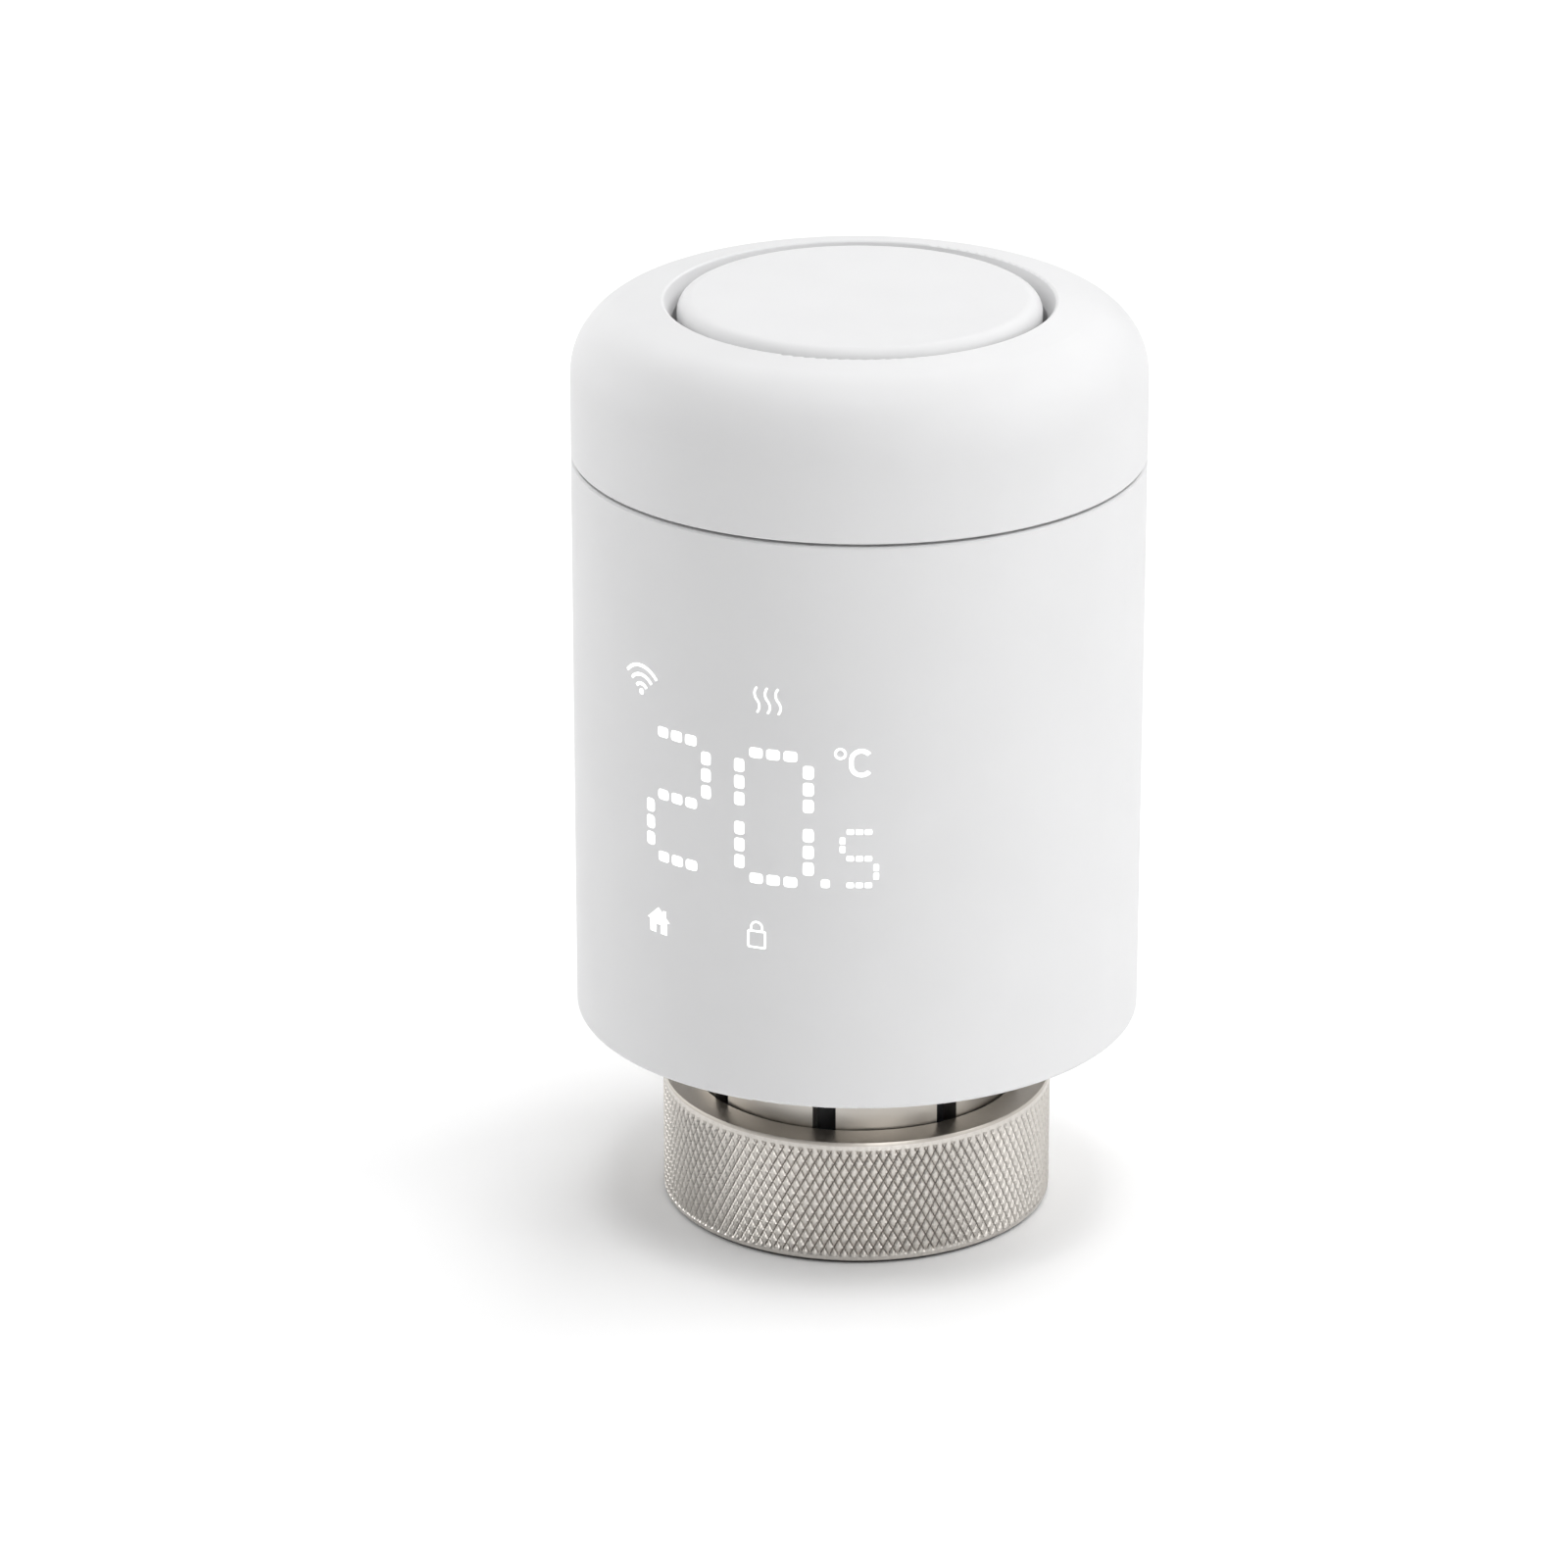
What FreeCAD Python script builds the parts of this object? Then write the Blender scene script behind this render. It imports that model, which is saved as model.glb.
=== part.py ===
import FreeCAD, Part
import math
import os

# Motorised radiator thermostat head: a round shell on a union nut, with a turning dial and a
# push button on top. Units are millimetres. The origin is the centre of the nut's lower face,
# +Z points up the axis, and the display faces -Y. Each function at the end makes one node.

Vector = FreeCAD.Vector

# ---- Overall sizes ----
body_radius = 26.5
shell_height = 54.5
neck_height = 7.0
nut_height = 12.4
dial_rise = 14.1

# ---- Fits ----
running_gap = 0.05
slide_gap = 0.15
part_gap = 0.2
wide_gap = 0.3
seam_gap = 0.25
close_gap = 0.1
overlap = 0.1
cut_past = 1.0
skim = 0.01

# ---- Outer shell ----
shell_wall = 2.0
shell_floor = 2.0
shell_bottom_round = 0.4
seam_bevel = 0.18
window_skin = 1.0
window_half_angle = 32.0
window_lift = 9.1
window_height = 32.0
boss_radius = 2.2
boss_height = 16.6
boss_rib = 1.2
boss_rib_length = 1.0
side_boss_drop = 5.04
ledge_depth = 1.2
ledge_height = 4.0
ledge_width = 4.0

# ---- Dial ----
shoulder_radius = 6.5
shoulder_sweep = 80.0
lip_width = 0.8
lip_round = 0.25
lip_wall_height = 1.9
lip_depth = 3.6
lip_thickness = 1.5
dial_wall = 1.8
ring_teeth = 92
ring_rim = 1.0
ring_height = 1.8

# ---- Union nut and valve collar ----
nut_radius = 18.4
nut_chamfer = 0.45
thread_minor_radius = 14.19
thread_major_radius = 15.05
thread_start = 0.9
thread_end = 7.9
collar_radius = 15.25
collar_wall = 2.15
collar_seat = 8.2
collar_edge = 0.3
collar_flange = 1.6
collar_slots = 8
slot_width = 2.2
slot_below_shell = 1.4
slot_phase = 11.6
sleeve_wall = 1.0
snap_wire = 1.2
snap_ring_height = 10.4
snap_ring_gap = 2.0
snap_grip = 0.5

# ---- Batteries (two AA cells) ----
cell_radius = 7.25
cell_length = 50.5
cell_nub_radius = 2.75
cell_nub = 1.0
cell_edge = 0.4
cell_web = 0.5
cell_screw_gap = 0.12
tray_wall = 0.8
tray_height = 39.0
tray_floor = 1.3
tray_ear = 1.5
tray_ear_half_width = 1.4
tray_wall_margin = 0.6
tray_back_drop = 1.0
rear_ear_start = 2.4
contact_sheet = 0.3
contact_radius = 5.5
contact_lift = 1.8
contact_dome_foot = 2.4
contact_dome_top = 1.4
bridge_dome_foot = 2.2
bridge_dome_top = 1.2
cell_spring_length = 9.0
cell_spring_width = 5.0
bridge_contact_width = 6.0

# ---- Gearbox ----
gear_module = 0.5
pressure_angle = math.radians(25)
addendum_share = 0.8
dedendum_share = 1.0
tooth_backlash = 0.09
centre_slack = 0.03
pinion_teeth = 10
wheel_teeth = 36
drive_teeth = 28
drive_to_second_angle = 213.75
second_to_first_angle = -1.5
first_to_motor_angle = -3.0
gearbox_back = 5.2
gearbox_wall = 0.9
gearbox_floor = 1.6
gearbox_depth = 22.0
cover_thickness = 1.2
axle_cap = 0.4
axle_socket = 4.0
axle_post_radius = 2.0
pillar_radius = 1.6
pillar_margin = 0.5
back_screw_inset = 1.2
front_screw_inset = 1.3
back_screw_draw = 1.6
bridge_left = -16.6
bridge_right = 9.6
bridge_front = 0.5
bridge_thickness = 1.0
drive_face = 3.4
second_wheel_face = 1.5
first_wheel_face = 1.2
level_gap = 0.5
hub_radius = 1.6
axle_radius = 0.75
spindle_radius = 3.0
spindle_stub_radius = 1.5
washer_radius = 3.4
washer_thickness = 0.45
motor_radius = 6.0
motor_half_flat = 5.0
motor_lift = 2.4
motor_length = 14.0
motor_boss_radius = 2.5
motor_boss = 0.8
motor_rib = 1.0
shaft_end = 0.6
shaft_depth = 2.8

# ---- Plunger that pushes the valve pin ----
plunger_radius = 5.0
plunger_length = 10.8
plunger_rise = 2.9
plunger_floor = 1.0
plunger_key_reach = 0.9
plunger_key_width = 1.6
plunger_key_height = 5.4
guide_wall = 1.8
guide_length = 8.5

# ---- Electronics ----
board_thickness = 1.2
main_board_half_width = 15.0
main_board_lift = 1.3
main_board_rise = 3.0
display_board_depth = 6.9
display_board_half_width = 13.4
display_board_lift = 9.6
display_board_height = 31.0
display_board_space = 2.2
board_pad_width = 2.0
board_pad_inset = 3.0
led_height = 0.5
led_inset = 0.25
flex_width = 4.4
flex_left = -0.4
flex_thickness = 0.2
flex_bend = 1.2
flex_tail = 5.0
flex_drop = 2.0
flex_front_gap = 1.6
flex_back_gap = 1.8

# ---- Parts on the boards: lifts and drops are from the board's lower and upper ends ----
radio_left = -13.5
radio_width = 10.0
radio_height = 14.5
radio_depth = 2.2
radio_lift = 2.0
processor_left = 0.5
processor_side = 7.0
processor_depth = 1.0
processor_drop = 3.5
memory_left = 9.0
memory_width = 4.5
memory_height = 6.0
memory_depth = 1.4
memory_lift = 2.5
flex_plug_left = -3.3
flex_plug_width = 8.3
flex_plug_height = 3.5
flex_plug_depth = 1.6
flex_plug_drop = 3.0
edge_plug_width = 9.0
edge_plug_height = 2.5
edge_plug_depth = 1.5
capacitor_x = 11.2
capacitor_radius = 2.0
capacitor_length = 3.6
capacitor_lifts = (12.5, 18.5)
driver_left = -9.0
driver_side = 6.0
driver_depth = 1.0
driver_drop = 4.0
display_plug_width = 10.0
display_plug_height = 3.0
display_plug_depth = 1.4
display_plug_drop = 2.5
sensor_left = 10.5
sensor_width = 2.0
sensor_height = 1.0
sensor_depth = 0.8
sensor_drop = 10.0

# ---- Display symbols: arc lengths round the shell from the middle of the display, and
# heights from the middle of the large figures ----
display_lift = 28.22
film_thickness = 0.03
cavity_margin = 0.1
big_pixel_length = 1.25
big_pixel_width = 0.98
big_pixel_pitch = 1.62
pixel_corner = 0.3
big_digit_half_width = 3.25
big_digit_half_height = 6.07
tens_arc = -7.0
units_arc = 2.92
small_pixel_length = 0.66
small_pixel_width = 0.5
small_pixel_pitch = 0.82
small_digit_half_width = 1.52
small_digit_half_height = 2.58
small_digit_rise = -3.48
tenths_arc = 10.8
point_arc = 7.74
point_size = 0.8
degree_arc = 9.07
degree_rise = 6.6
degree_radius = 0.55
degree_stroke = 0.2
celsius_arc = 10.95
celsius_rise = 5.75
celsius_radius = 0.9
celsius_half_bar = 0.25
celsius_mouth = 40.0
celsius_stroke = 0.4
wireless_arc = -11.4
wireless_rise = 9.26
wireless_dot = 0.55
dot_corner = 0.45
wireless_stroke = 0.3
wireless_step = 0.87
wireless_spread = 50.0
wireless_drop = 0.1
heat_arc = 2.4
heat_rise = 11.18
heat_spacing = 1.0
heat_stroke = 0.19
heat_bend = 0.9
heat_sweep = 42.0
house_arc = -9.36
house_rise = -13.77
house_half_width = 1.4
house_eaves = 1.25
house_ridge = 2.5
roof_overhang = 0.35
door_half_width = 0.3
door_height = 0.85
chimney_near = 0.6
chimney_far = 0.95
chimney_top = 2.3
lock_arc = 1.34
lock_rise = -12.92
lock_half_width = 0.9
lock_height = 1.75
lock_stroke = 0.17
lock_corner = 0.2
shackle_lift = 0.28
shackle_share = 0.6

# ---- Top module (the cap that pulls off for the batteries) ----
top_plate_rise = 3.9
top_plate = 1.6
skirt_wall = 1.2
skirt_depth = 3.9
retainer_rise = 1.5
retainer_thickness = 0.8
retainer_grip = 0.35
retainer_bite = 0.4
retainer_split = 6.0
dial_board_thickness = 0.8
dial_board_tab = 2.9
encoder_teeth = 12
encoder_angle = 225.0
encoder_radius = 2.5
encoder_height = 0.8
switch_half = 3.0
switch_height = 3.5
switch_pin_radius = 1.75
switch_pin_height = 1.2
carrier_wall = 1.1
carrier_lip = 0.5
carrier_lip_height = 0.8
carrier_lip_drop = 4.35
carrier_lip_bevel = 0.3
spring_radius = 6.0
spring_wire = 0.5
spring_turns = 4
contact_pin_radius = 0.5
contact_pin_spacing = 3.0
contact_pin_setback = 0.8
dial_board_margin = 0.7
switch_bore_depth = 0.8

# ---- Button ----
button_radius = 16.7
button_gap = 0.5
button_proud = 0.25
button_edge = 1.4
button_thickness = 1.5
button_skirt_wall = 1.0
button_bead = 0.55
button_bead_height = 0.8
button_lead = 0.3
button_post_margin = 0.8

# ---- Fasteners ----
screw_radius = 1.0
screw_head_radius = 1.8
screw_head = 0.8
socket_radius = 0.6
collar_screw_length = 5.2
frame_screw_length = 8.0
gearbox_screw_length = 8.0
bridge_screw_length = 4.5

# ---- Radii and places that follow from the sizes above ----
shell_inner = body_radius - shell_wall
wall_middle = shell_inner + shell_wall / 4
boss_reach = shell_inner - boss_radius - boss_rib_length
collar_bore = collar_radius - collar_wall
tray_bore = cell_radius + slide_gap
cell_x = tray_bore + cell_web / 2
collar_screw_reach = boss_reach - boss_radius - wide_gap - screw_head_radius
collar_flange_radius = collar_screw_reach + screw_head_radius
cell_to_screw = cell_radius + screw_radius + cell_screw_gap
cell_y = collar_screw_reach - math.sqrt(cell_to_screw**2 - cell_x**2)
side_boss_y = cell_y - side_boss_drop
side_boss_x = math.sqrt(boss_reach**2 - side_boss_y**2)
gearbox_radius = shell_inner - 2 * part_gap
tray_front = gearbox_back + part_gap
main_board_front = tray_front - close_gap - board_thickness
contact_pin_y = main_board_front - contact_pin_setback
guide_bore = plunger_radius + slide_gap
guide_outer = guide_bore + guide_wall
window_radius = body_radius - window_skin
reflector_radius = window_radius - part_gap
display_board_front = display_board_depth - body_radius
display_board_back = display_board_front + board_thickness
gearbox_front = display_board_back + display_board_space
drive_clearance = drive_teeth * gear_module / 2 + gear_module
skirt_radius = shell_inner - part_gap
retainer_inner = skirt_radius - retainer_grip
retainer_outer = skirt_radius + part_gap + retainer_bite
lip_throat = button_radius + button_gap
lip_radius = lip_throat + lip_width
button_inner = button_radius - button_skirt_wall
carrier_radius = button_inner - button_bead - slide_gap
dial_board_radius = carrier_radius - carrier_wall - dial_board_margin
shoulder_centre_radius = body_radius - shoulder_radius
shoulder_angle = math.radians(shoulder_sweep)
shoulder_slope = math.tan(math.pi / 2 - shoulder_angle)
shoulder_crest = shoulder_centre_radius + shoulder_radius * math.cos(shoulder_angle)
ring_pitch_radius = ring_teeth * gear_module / 2
encoder_reach = (ring_teeth - encoder_teeth) * gear_module / 2

# ---- Heights that follow, from the bottom up ----
body_bottom = nut_height + neck_height
floor_top = body_bottom + shell_floor
flange_top = floor_top + collar_flange
slot_top = body_bottom - slot_below_shell
guide_bottom = floor_top + close_gap
guide_top = guide_bottom + guide_length
plunger_bottom = guide_bottom + plunger_rise
plunger_top = plunger_bottom + plunger_length
spindle_tip = plunger_bottom + plunger_floor + part_gap
drive_level = plunger_top + 4 * part_gap
bridge_bottom = drive_level + drive_face + running_gap + washer_thickness
bridge_top = bridge_bottom + bridge_thickness
second_wheel_level = bridge_top + wide_gap
first_wheel_level = second_wheel_level + second_wheel_face + level_gap
gearbox_top = flange_top + gearbox_depth
cover_top = gearbox_top + cover_thickness
motor_bottom = flange_top + gearbox_floor + motor_lift
motor_top = motor_bottom + motor_length
boss_top = floor_top + boss_height
ear_top = boss_top + tray_ear
tray_top = flange_top + tray_height
contact_top = flange_top + tray_floor + contact_sheet
cell_bottom = contact_top + contact_lift
cell_top = cell_bottom + cell_length
window_bottom = floor_top + window_lift
window_top = window_bottom + window_height
display_board_bottom = floor_top + display_board_lift
display_board_top = display_board_bottom + display_board_height
display_height = body_bottom + display_lift
flex_height = display_board_top - flex_drop
seam_height = body_bottom + shell_height
shell_top = seam_height - seam_gap / 2
dial_bottom = seam_height + seam_gap / 2
skirt_bottom = seam_height - skirt_depth
main_board_bottom = cover_top + main_board_lift
main_board_top = skirt_bottom + main_board_rise
retainer_height = seam_height + retainer_rise
top_plate_bottom = seam_height + top_plate_rise
top_plate_top = top_plate_bottom + top_plate
dial_board_top = top_plate_top + dial_board_thickness
switch_top = dial_board_top + switch_height
encoder_gear_bottom = dial_board_top + encoder_height + 2 * running_gap
dial_height = seam_height + dial_rise
shoulder_height = dial_height - shoulder_radius * math.sin(shoulder_angle)
lip_top = dial_height + (shoulder_crest - lip_radius) * shoulder_slope
button_top = lip_top + button_proud
button_under = button_top - button_thickness
carrier_lip_bottom = button_top - carrier_lip_drop


def polar(radius, degrees):
    """A point in the XY plane, degrees counted anticlockwise from +X."""
    angle = math.radians(degrees)
    return radius * math.cos(angle), radius * math.sin(angle)


def disc(radius, bottom, top, x=0.0, y=0.0):
    """An upright cylinder between two heights."""
    return Part.makeCylinder(radius, top - bottom, Vector(x, y, bottom))


def tube(outer, inner, bottom, top, x=0.0, y=0.0):
    """An upright tube between two heights."""
    return disc(outer, bottom, top, x, y).cut(disc(inner, bottom - cut_past, top + cut_past, x, y))


def cone(lower, upper, bottom, top, x=0.0, y=0.0):
    """An upright cone between two heights."""
    return Part.makeCone(lower, upper, top - bottom, Vector(x, y, bottom))


def block(x_low, x_high, y_low, y_high, z_low, z_high):
    """A box given by its lowest and highest corners."""
    corner = Vector(x_low, y_low, z_low)
    return Part.makeBox(x_high - x_low, y_high - y_low, z_high - z_low, corner)


def joined(shapes):
    """One solid from pieces that touch or overlap."""
    shapes = list(shapes)
    return shapes[0].fuse(shapes[1:]).removeSplitter()


def turned(start, *steps):
    """Turns an outline about the axis. A step is an end point, or a middle and an end of an arc."""
    edges = []
    here = Vector(start[0], 0, start[1])
    for step in steps + (start,):
        if isinstance(step[0], tuple):
            middle = Vector(step[0][0], 0, step[0][1])
            end = Vector(step[1][0], 0, step[1][1])
            edges.append(Part.Arc(here, middle, end).toShape())
        else:
            end = Vector(step[0], 0, step[1])
            edges.append(Part.makeLine(here, end))
        here = end
    face = Part.Face(Part.Wire(edges))
    return face.revolve(Vector(0, 0, 0), Vector(0, 0, 1), 360)


def save(name, shape):
    """Writes one node, as a group if it holds several solids."""
    shape.exportStep(os.path.join("parts", name + ".step"))


# ---- Gears ----


def tooth_half_angle(radius, pitch_radius, teeth, thickening):
    """Half the angle that an involute tooth fills at a radius."""
    base = pitch_radius * math.cos(pressure_angle)
    at_pitch = math.pi / (2 * teeth) + thickening / (2 * pitch_radius)
    slope = math.acos(min(1.0, base / radius))
    rolled = math.tan(pressure_angle) - pressure_angle - math.tan(slope) + slope
    return at_pitch + rolled


def gear_face(teeth, tip_radius, root_radius, thickening, phase):
    """A toothed outline about the origin, with one tooth centred at the phase angle."""
    pitch_radius = teeth * gear_module / 2
    base = pitch_radius * math.cos(pressure_angle)
    flank_start = max(base, root_radius)
    flank_middle = (flank_start + tip_radius) / 2

    def point(radius, angle):
        return Vector(radius * math.cos(angle), radius * math.sin(angle), 0)

    edges = []
    for tooth in range(teeth):
        centre = phase + 2 * math.pi * tooth / teeth
        after = centre + 2 * math.pi / teeth
        half = {
            radius: tooth_half_angle(radius, pitch_radius, teeth, thickening)
            for radius in (flank_start, flank_middle, tip_radius)
        }
        foot = half[flank_start]
        rise = [point(radius, centre - half[radius]) for radius in half]
        fall = [point(radius, centre + half[radius]) for radius in reversed(half)]
        edges.append(Part.Arc(*rise).toShape())
        edges.append(Part.makeLine(rise[2], fall[0]))
        edges.append(Part.Arc(*fall).toShape())
        valley = [fall[2], rise[0]]
        valley[1] = point(flank_start, after - foot)
        if root_radius < base:
            down = point(root_radius, centre + foot)
            up = point(root_radius, after - foot)
            edges.append(Part.makeLine(valley[0], down))
            edges.append(Part.makeLine(down, up))
            edges.append(Part.makeLine(up, valley[1]))
        else:
            edges.append(Part.makeLine(valley[0], valley[1]))
    return Part.Face(Part.Wire(edges))


def gear(teeth, x, y, bottom, top, phase):
    """A spur gear with its axis upright."""
    pitch_radius = teeth * gear_module / 2
    tip_radius = pitch_radius + addendum_share * gear_module
    root_radius = pitch_radius - dedendum_share * gear_module
    face = gear_face(teeth, tip_radius, root_radius, -tooth_backlash, phase)
    face.translate(Vector(x, y, bottom))
    return face.extrude(Vector(0, 0, top - bottom))


def meshed_phase(teeth, phase, other_teeth, direction):
    """The phase that lets a gear mesh with another, which lies from it in this direction."""
    turned_back = (phase - direction) * other_teeth / teeth
    return direction + math.pi + math.pi / teeth - turned_back


def centre_distance(teeth, other_teeth):
    """How far apart the axes of two meshing gears stand."""
    return (teeth + other_teeth) * gear_module / 2 + centre_slack


def second_place():
    """Where the second gear's axle stands."""
    return polar(centre_distance(drive_teeth, pinion_teeth), drive_to_second_angle)


def first_place():
    """Where the first gear's axle stands."""
    x, y = second_place()
    dx, dy = polar(centre_distance(wheel_teeth, pinion_teeth), second_to_first_angle)
    return x + dx, y + dy


def motor_place():
    """Where the motor's shaft stands."""
    x, y = first_place()
    dx, dy = polar(centre_distance(wheel_teeth, pinion_teeth), first_to_motor_angle)
    return x + dx, y + dy


# ---- Places that repeat ----


def boss_places():
    """The shell's three screw bosses."""
    return [(side_boss_x, side_boss_y), (-side_boss_x, side_boss_y), (0.0, boss_reach)]


def collar_screw_places():
    """The three screws up through the collar's flange."""
    return [polar(collar_screw_reach, degrees) for degrees in (90, 210, 330)]


def gearbox_screw_places():
    """The four screws that close the gearbox, one in each corner."""
    reach = gearbox_radius - screw_head_radius - part_gap
    back_y = gearbox_back - screw_head_radius - back_screw_inset
    front_y = gearbox_front + screw_head_radius + front_screw_inset
    back_x = math.sqrt((reach - back_screw_draw) ** 2 - back_y**2)
    front_x = math.sqrt(reach**2 - front_y**2)
    return [(back_x, back_y), (-back_x, back_y), (front_x, front_y), (-front_x, front_y)]


def bridge_screw_places():
    """The three pillars under the gear bridge."""
    inset = gearbox_wall + pillar_radius + pillar_margin
    back_y = gearbox_back - inset
    return [(bridge_left, back_y), (bridge_right, back_y), (bridge_front, gearbox_front + inset)]


def cell_places():
    """The two battery cells."""
    return [(-cell_x, cell_y), (cell_x, cell_y)]


def sector(inner, outer, bottom, top, middle_degrees, half_width):
    """A stretch of ring as wide as a straight rib, centred on a direction."""
    ring = tube(outer, inner, bottom, top)
    rib = block(0, outer + cut_past, -half_width, half_width, bottom, top)
    rib.rotate(Vector(0, 0, 0), Vector(0, 0, 1), middle_degrees)
    return ring.common(rib)


def screw(x, y, seat, length, upward=False):
    """A pan-head screw. Its head sits on the seat height, and its shank points down or up."""
    if upward:
        head = cone(screw_head_radius, screw_radius, seat, seat + screw_head, x, y)
        shank = disc(screw_radius, seat, seat + length, x, y)
    else:
        head = disc(screw_head_radius, seat, seat + screw_head, x, y)
        shank = disc(screw_radius, seat - length, seat, x, y)
    socket = disc(socket_radius, seat + screw_head / 2, seat + screw_head + cut_past, x, y)
    solid = head.fuse(shank).removeSplitter()
    return solid if upward else solid.cut(socket)


# ---- Housing ----


def outer_shell():
    """The white tube with its floor, thinned display window, screw bosses and ledges."""
    bevel = seam_bevel
    edge = shell_bottom_round
    low_middle = edge * (1 - math.sqrt(0.5))
    shell = turned(
        (collar_radius + slide_gap, body_bottom),
        (body_radius - edge, body_bottom),
        ((body_radius - low_middle, body_bottom + low_middle), (body_radius, body_bottom + edge)),
        (body_radius, shell_top - bevel),
        (body_radius - bevel, shell_top),
        (shell_inner, shell_top),
        (shell_inner, floor_top),
        (collar_radius + slide_gap, floor_top),
    )
    window = tube(window_radius, shell_inner - cut_past, window_bottom, window_top)
    half_window = 2 * window_radius * math.sin(math.radians(window_half_angle)) / 2
    window = window.common(
        block(-half_window, half_window, -body_radius, 0, window_bottom, window_top)
    )
    shell = shell.cut(window)
    extras = []
    for x, y in boss_places():
        boss = disc(boss_radius, floor_top - overlap, boss_top, x, y)
        extras.append(boss)
        reach = math.hypot(x, y)
        half = boss_rib / 2
        rib = block(reach, wall_middle, -half, half, floor_top - overlap, boss_top)
        rib.rotate(Vector(0, 0, 0), Vector(0, 0, 1), math.degrees(math.atan2(y, x)))
        extras.append(rib)
    for degrees in (0, 90, 180, 270):
        low = skirt_bottom - ledge_height
        inner = shell_inner - ledge_depth
        extras.append(
            sector(inner, wall_middle, low, skirt_bottom, degrees, ledge_width / 2)
        )
    shell = joined([shell] + extras)
    for x, y in boss_places():
        pilot_bottom = ear_top - frame_screw_length
        shell = shell.cut(disc(screw_radius, pilot_bottom, boss_top + cut_past, x, y))
    return shell


def valve_collar():
    """The slotted metal collar that stands on the valve, with the flange that the shell rests on."""
    groove = collar_radius - snap_grip - running_gap
    groove_half = snap_wire / 2 + running_gap
    collar = turned(
        (collar_bore, collar_seat),
        (collar_radius - collar_edge, collar_seat),
        (collar_radius, collar_seat + collar_edge),
        (collar_radius, snap_ring_height - groove_half),
        (groove, snap_ring_height - groove_half),
        (groove, snap_ring_height + groove_half),
        (collar_radius, snap_ring_height + groove_half),
        (collar_radius, floor_top),
        (collar_flange_radius, floor_top),
        (collar_flange_radius, flange_top),
        (collar_bore, flange_top),
    )
    for slot in range(collar_slots):
        cutter = block(
            collar_bore - 2 * cut_past,
            collar_radius + cut_past,
            -slot_width / 2,
            slot_width / 2,
            collar_seat - cut_past,
            slot_top,
        )
        degrees = slot_phase + slot * 360 / collar_slots
        cutter.rotate(Vector(0, 0, 0), Vector(0, 0, 1), degrees)
        collar = collar.cut(cutter)
    for x, y in collar_screw_places():
        collar = collar.cut(disc(screw_radius, floor_top - cut_past, flange_top + cut_past, x, y))
        sink_top = floor_top + screw_head
        collar = collar.cut(cone(screw_head_radius, screw_radius, floor_top, sink_top, x, y))
    return collar


def guide_sleeve():
    """The black liner inside the collar, seen through its slots."""
    outer = collar_bore - running_gap
    sleeve = tube(outer, outer - sleeve_wall, collar_seat, floor_top)
    return sleeve


def collar_screws():
    """Three screws that hold the collar's flange to the frame."""
    return Part.makeCompound(
        [screw(x, y, floor_top, collar_screw_length, True) for x, y in collar_screw_places()]
    )


def gearbox_outline(bottom, top, inset=0.0):
    """The gearbox's outline: a circle cut off flat at the front and the back."""
    radius = gearbox_radius - inset
    return disc(radius, bottom, top).common(
        block(-radius, radius, gearbox_front + inset, gearbox_back - inset, bottom, top)
    )


def gearbox_base():
    """The gearbox tub, with the plunger's guide tube, pillars and screw bosses."""
    floor_high = flange_top + gearbox_floor
    tub = gearbox_outline(flange_top, gearbox_top)
    tub = tub.cut(gearbox_outline(floor_high, gearbox_top + cut_past, gearbox_wall))
    adds = [disc(guide_outer, guide_bottom, guide_top)]
    x, y = second_place()
    adds.append(disc(axle_post_radius, flange_top, drive_level - part_gap, x, y))
    for x, y in gearbox_screw_places():
        adds.append(disc(screw_head_radius, flange_top, gearbox_top, x, y))
    for x, y in bridge_screw_places():
        adds.append(disc(pillar_radius, flange_top, bridge_bottom, x, y))
    for x, y in collar_screw_places()[1:]:
        adds.append(disc(screw_head_radius, flange_top, motor_bottom - part_gap, x, y))
    x, y = motor_place()
    half = motor_rib / 2
    reach = motor_half_flat
    adds.append(block(x - reach, x + reach, y - half, y + half, flange_top, motor_bottom))
    pad = display_board_half_width - board_pad_inset
    for low in (-pad, pad - board_pad_width):
        adds.append(
            block(
                low,
                low + board_pad_width,
                display_board_back,
                gearbox_front + overlap,
                display_board_bottom,
                gearbox_top - cut_past,
            )
        )
    tub = joined([tub] + adds)
    low, high = guide_bottom - cut_past, guide_top + cut_past
    cuts = [disc(guide_bore, low, high)]
    key_reach = plunger_radius + plunger_key_reach + slide_gap
    key_half = plunger_key_width / 2 + slide_gap
    cuts.append(block(-key_reach, key_reach, -key_half, key_half, low, high))
    cuts.append(disc(guide_bore + part_gap, guide_top, drive_level))
    cuts.append(disc(drive_clearance, drive_level - part_gap, gearbox_top + cut_past))
    x, y = second_place()
    cuts.append(disc(axle_radius, drive_level - axle_socket, drive_level, x, y))
    for x, y in gearbox_screw_places():
        cuts.append(
            disc(screw_radius, cover_top - gearbox_screw_length, gearbox_top + cut_past, x, y)
        )
    for x, y in bridge_screw_places():
        low = bridge_top - bridge_screw_length
        cuts.append(disc(screw_radius, low, bridge_bottom + cut_past, x, y))
    for x, y in collar_screw_places():
        cuts.append(disc(screw_radius, flange_top - cut_past, floor_top + collar_screw_length, x, y))
    for cutter in cuts:
        tub = tub.cut(cutter)
    return tub


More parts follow.
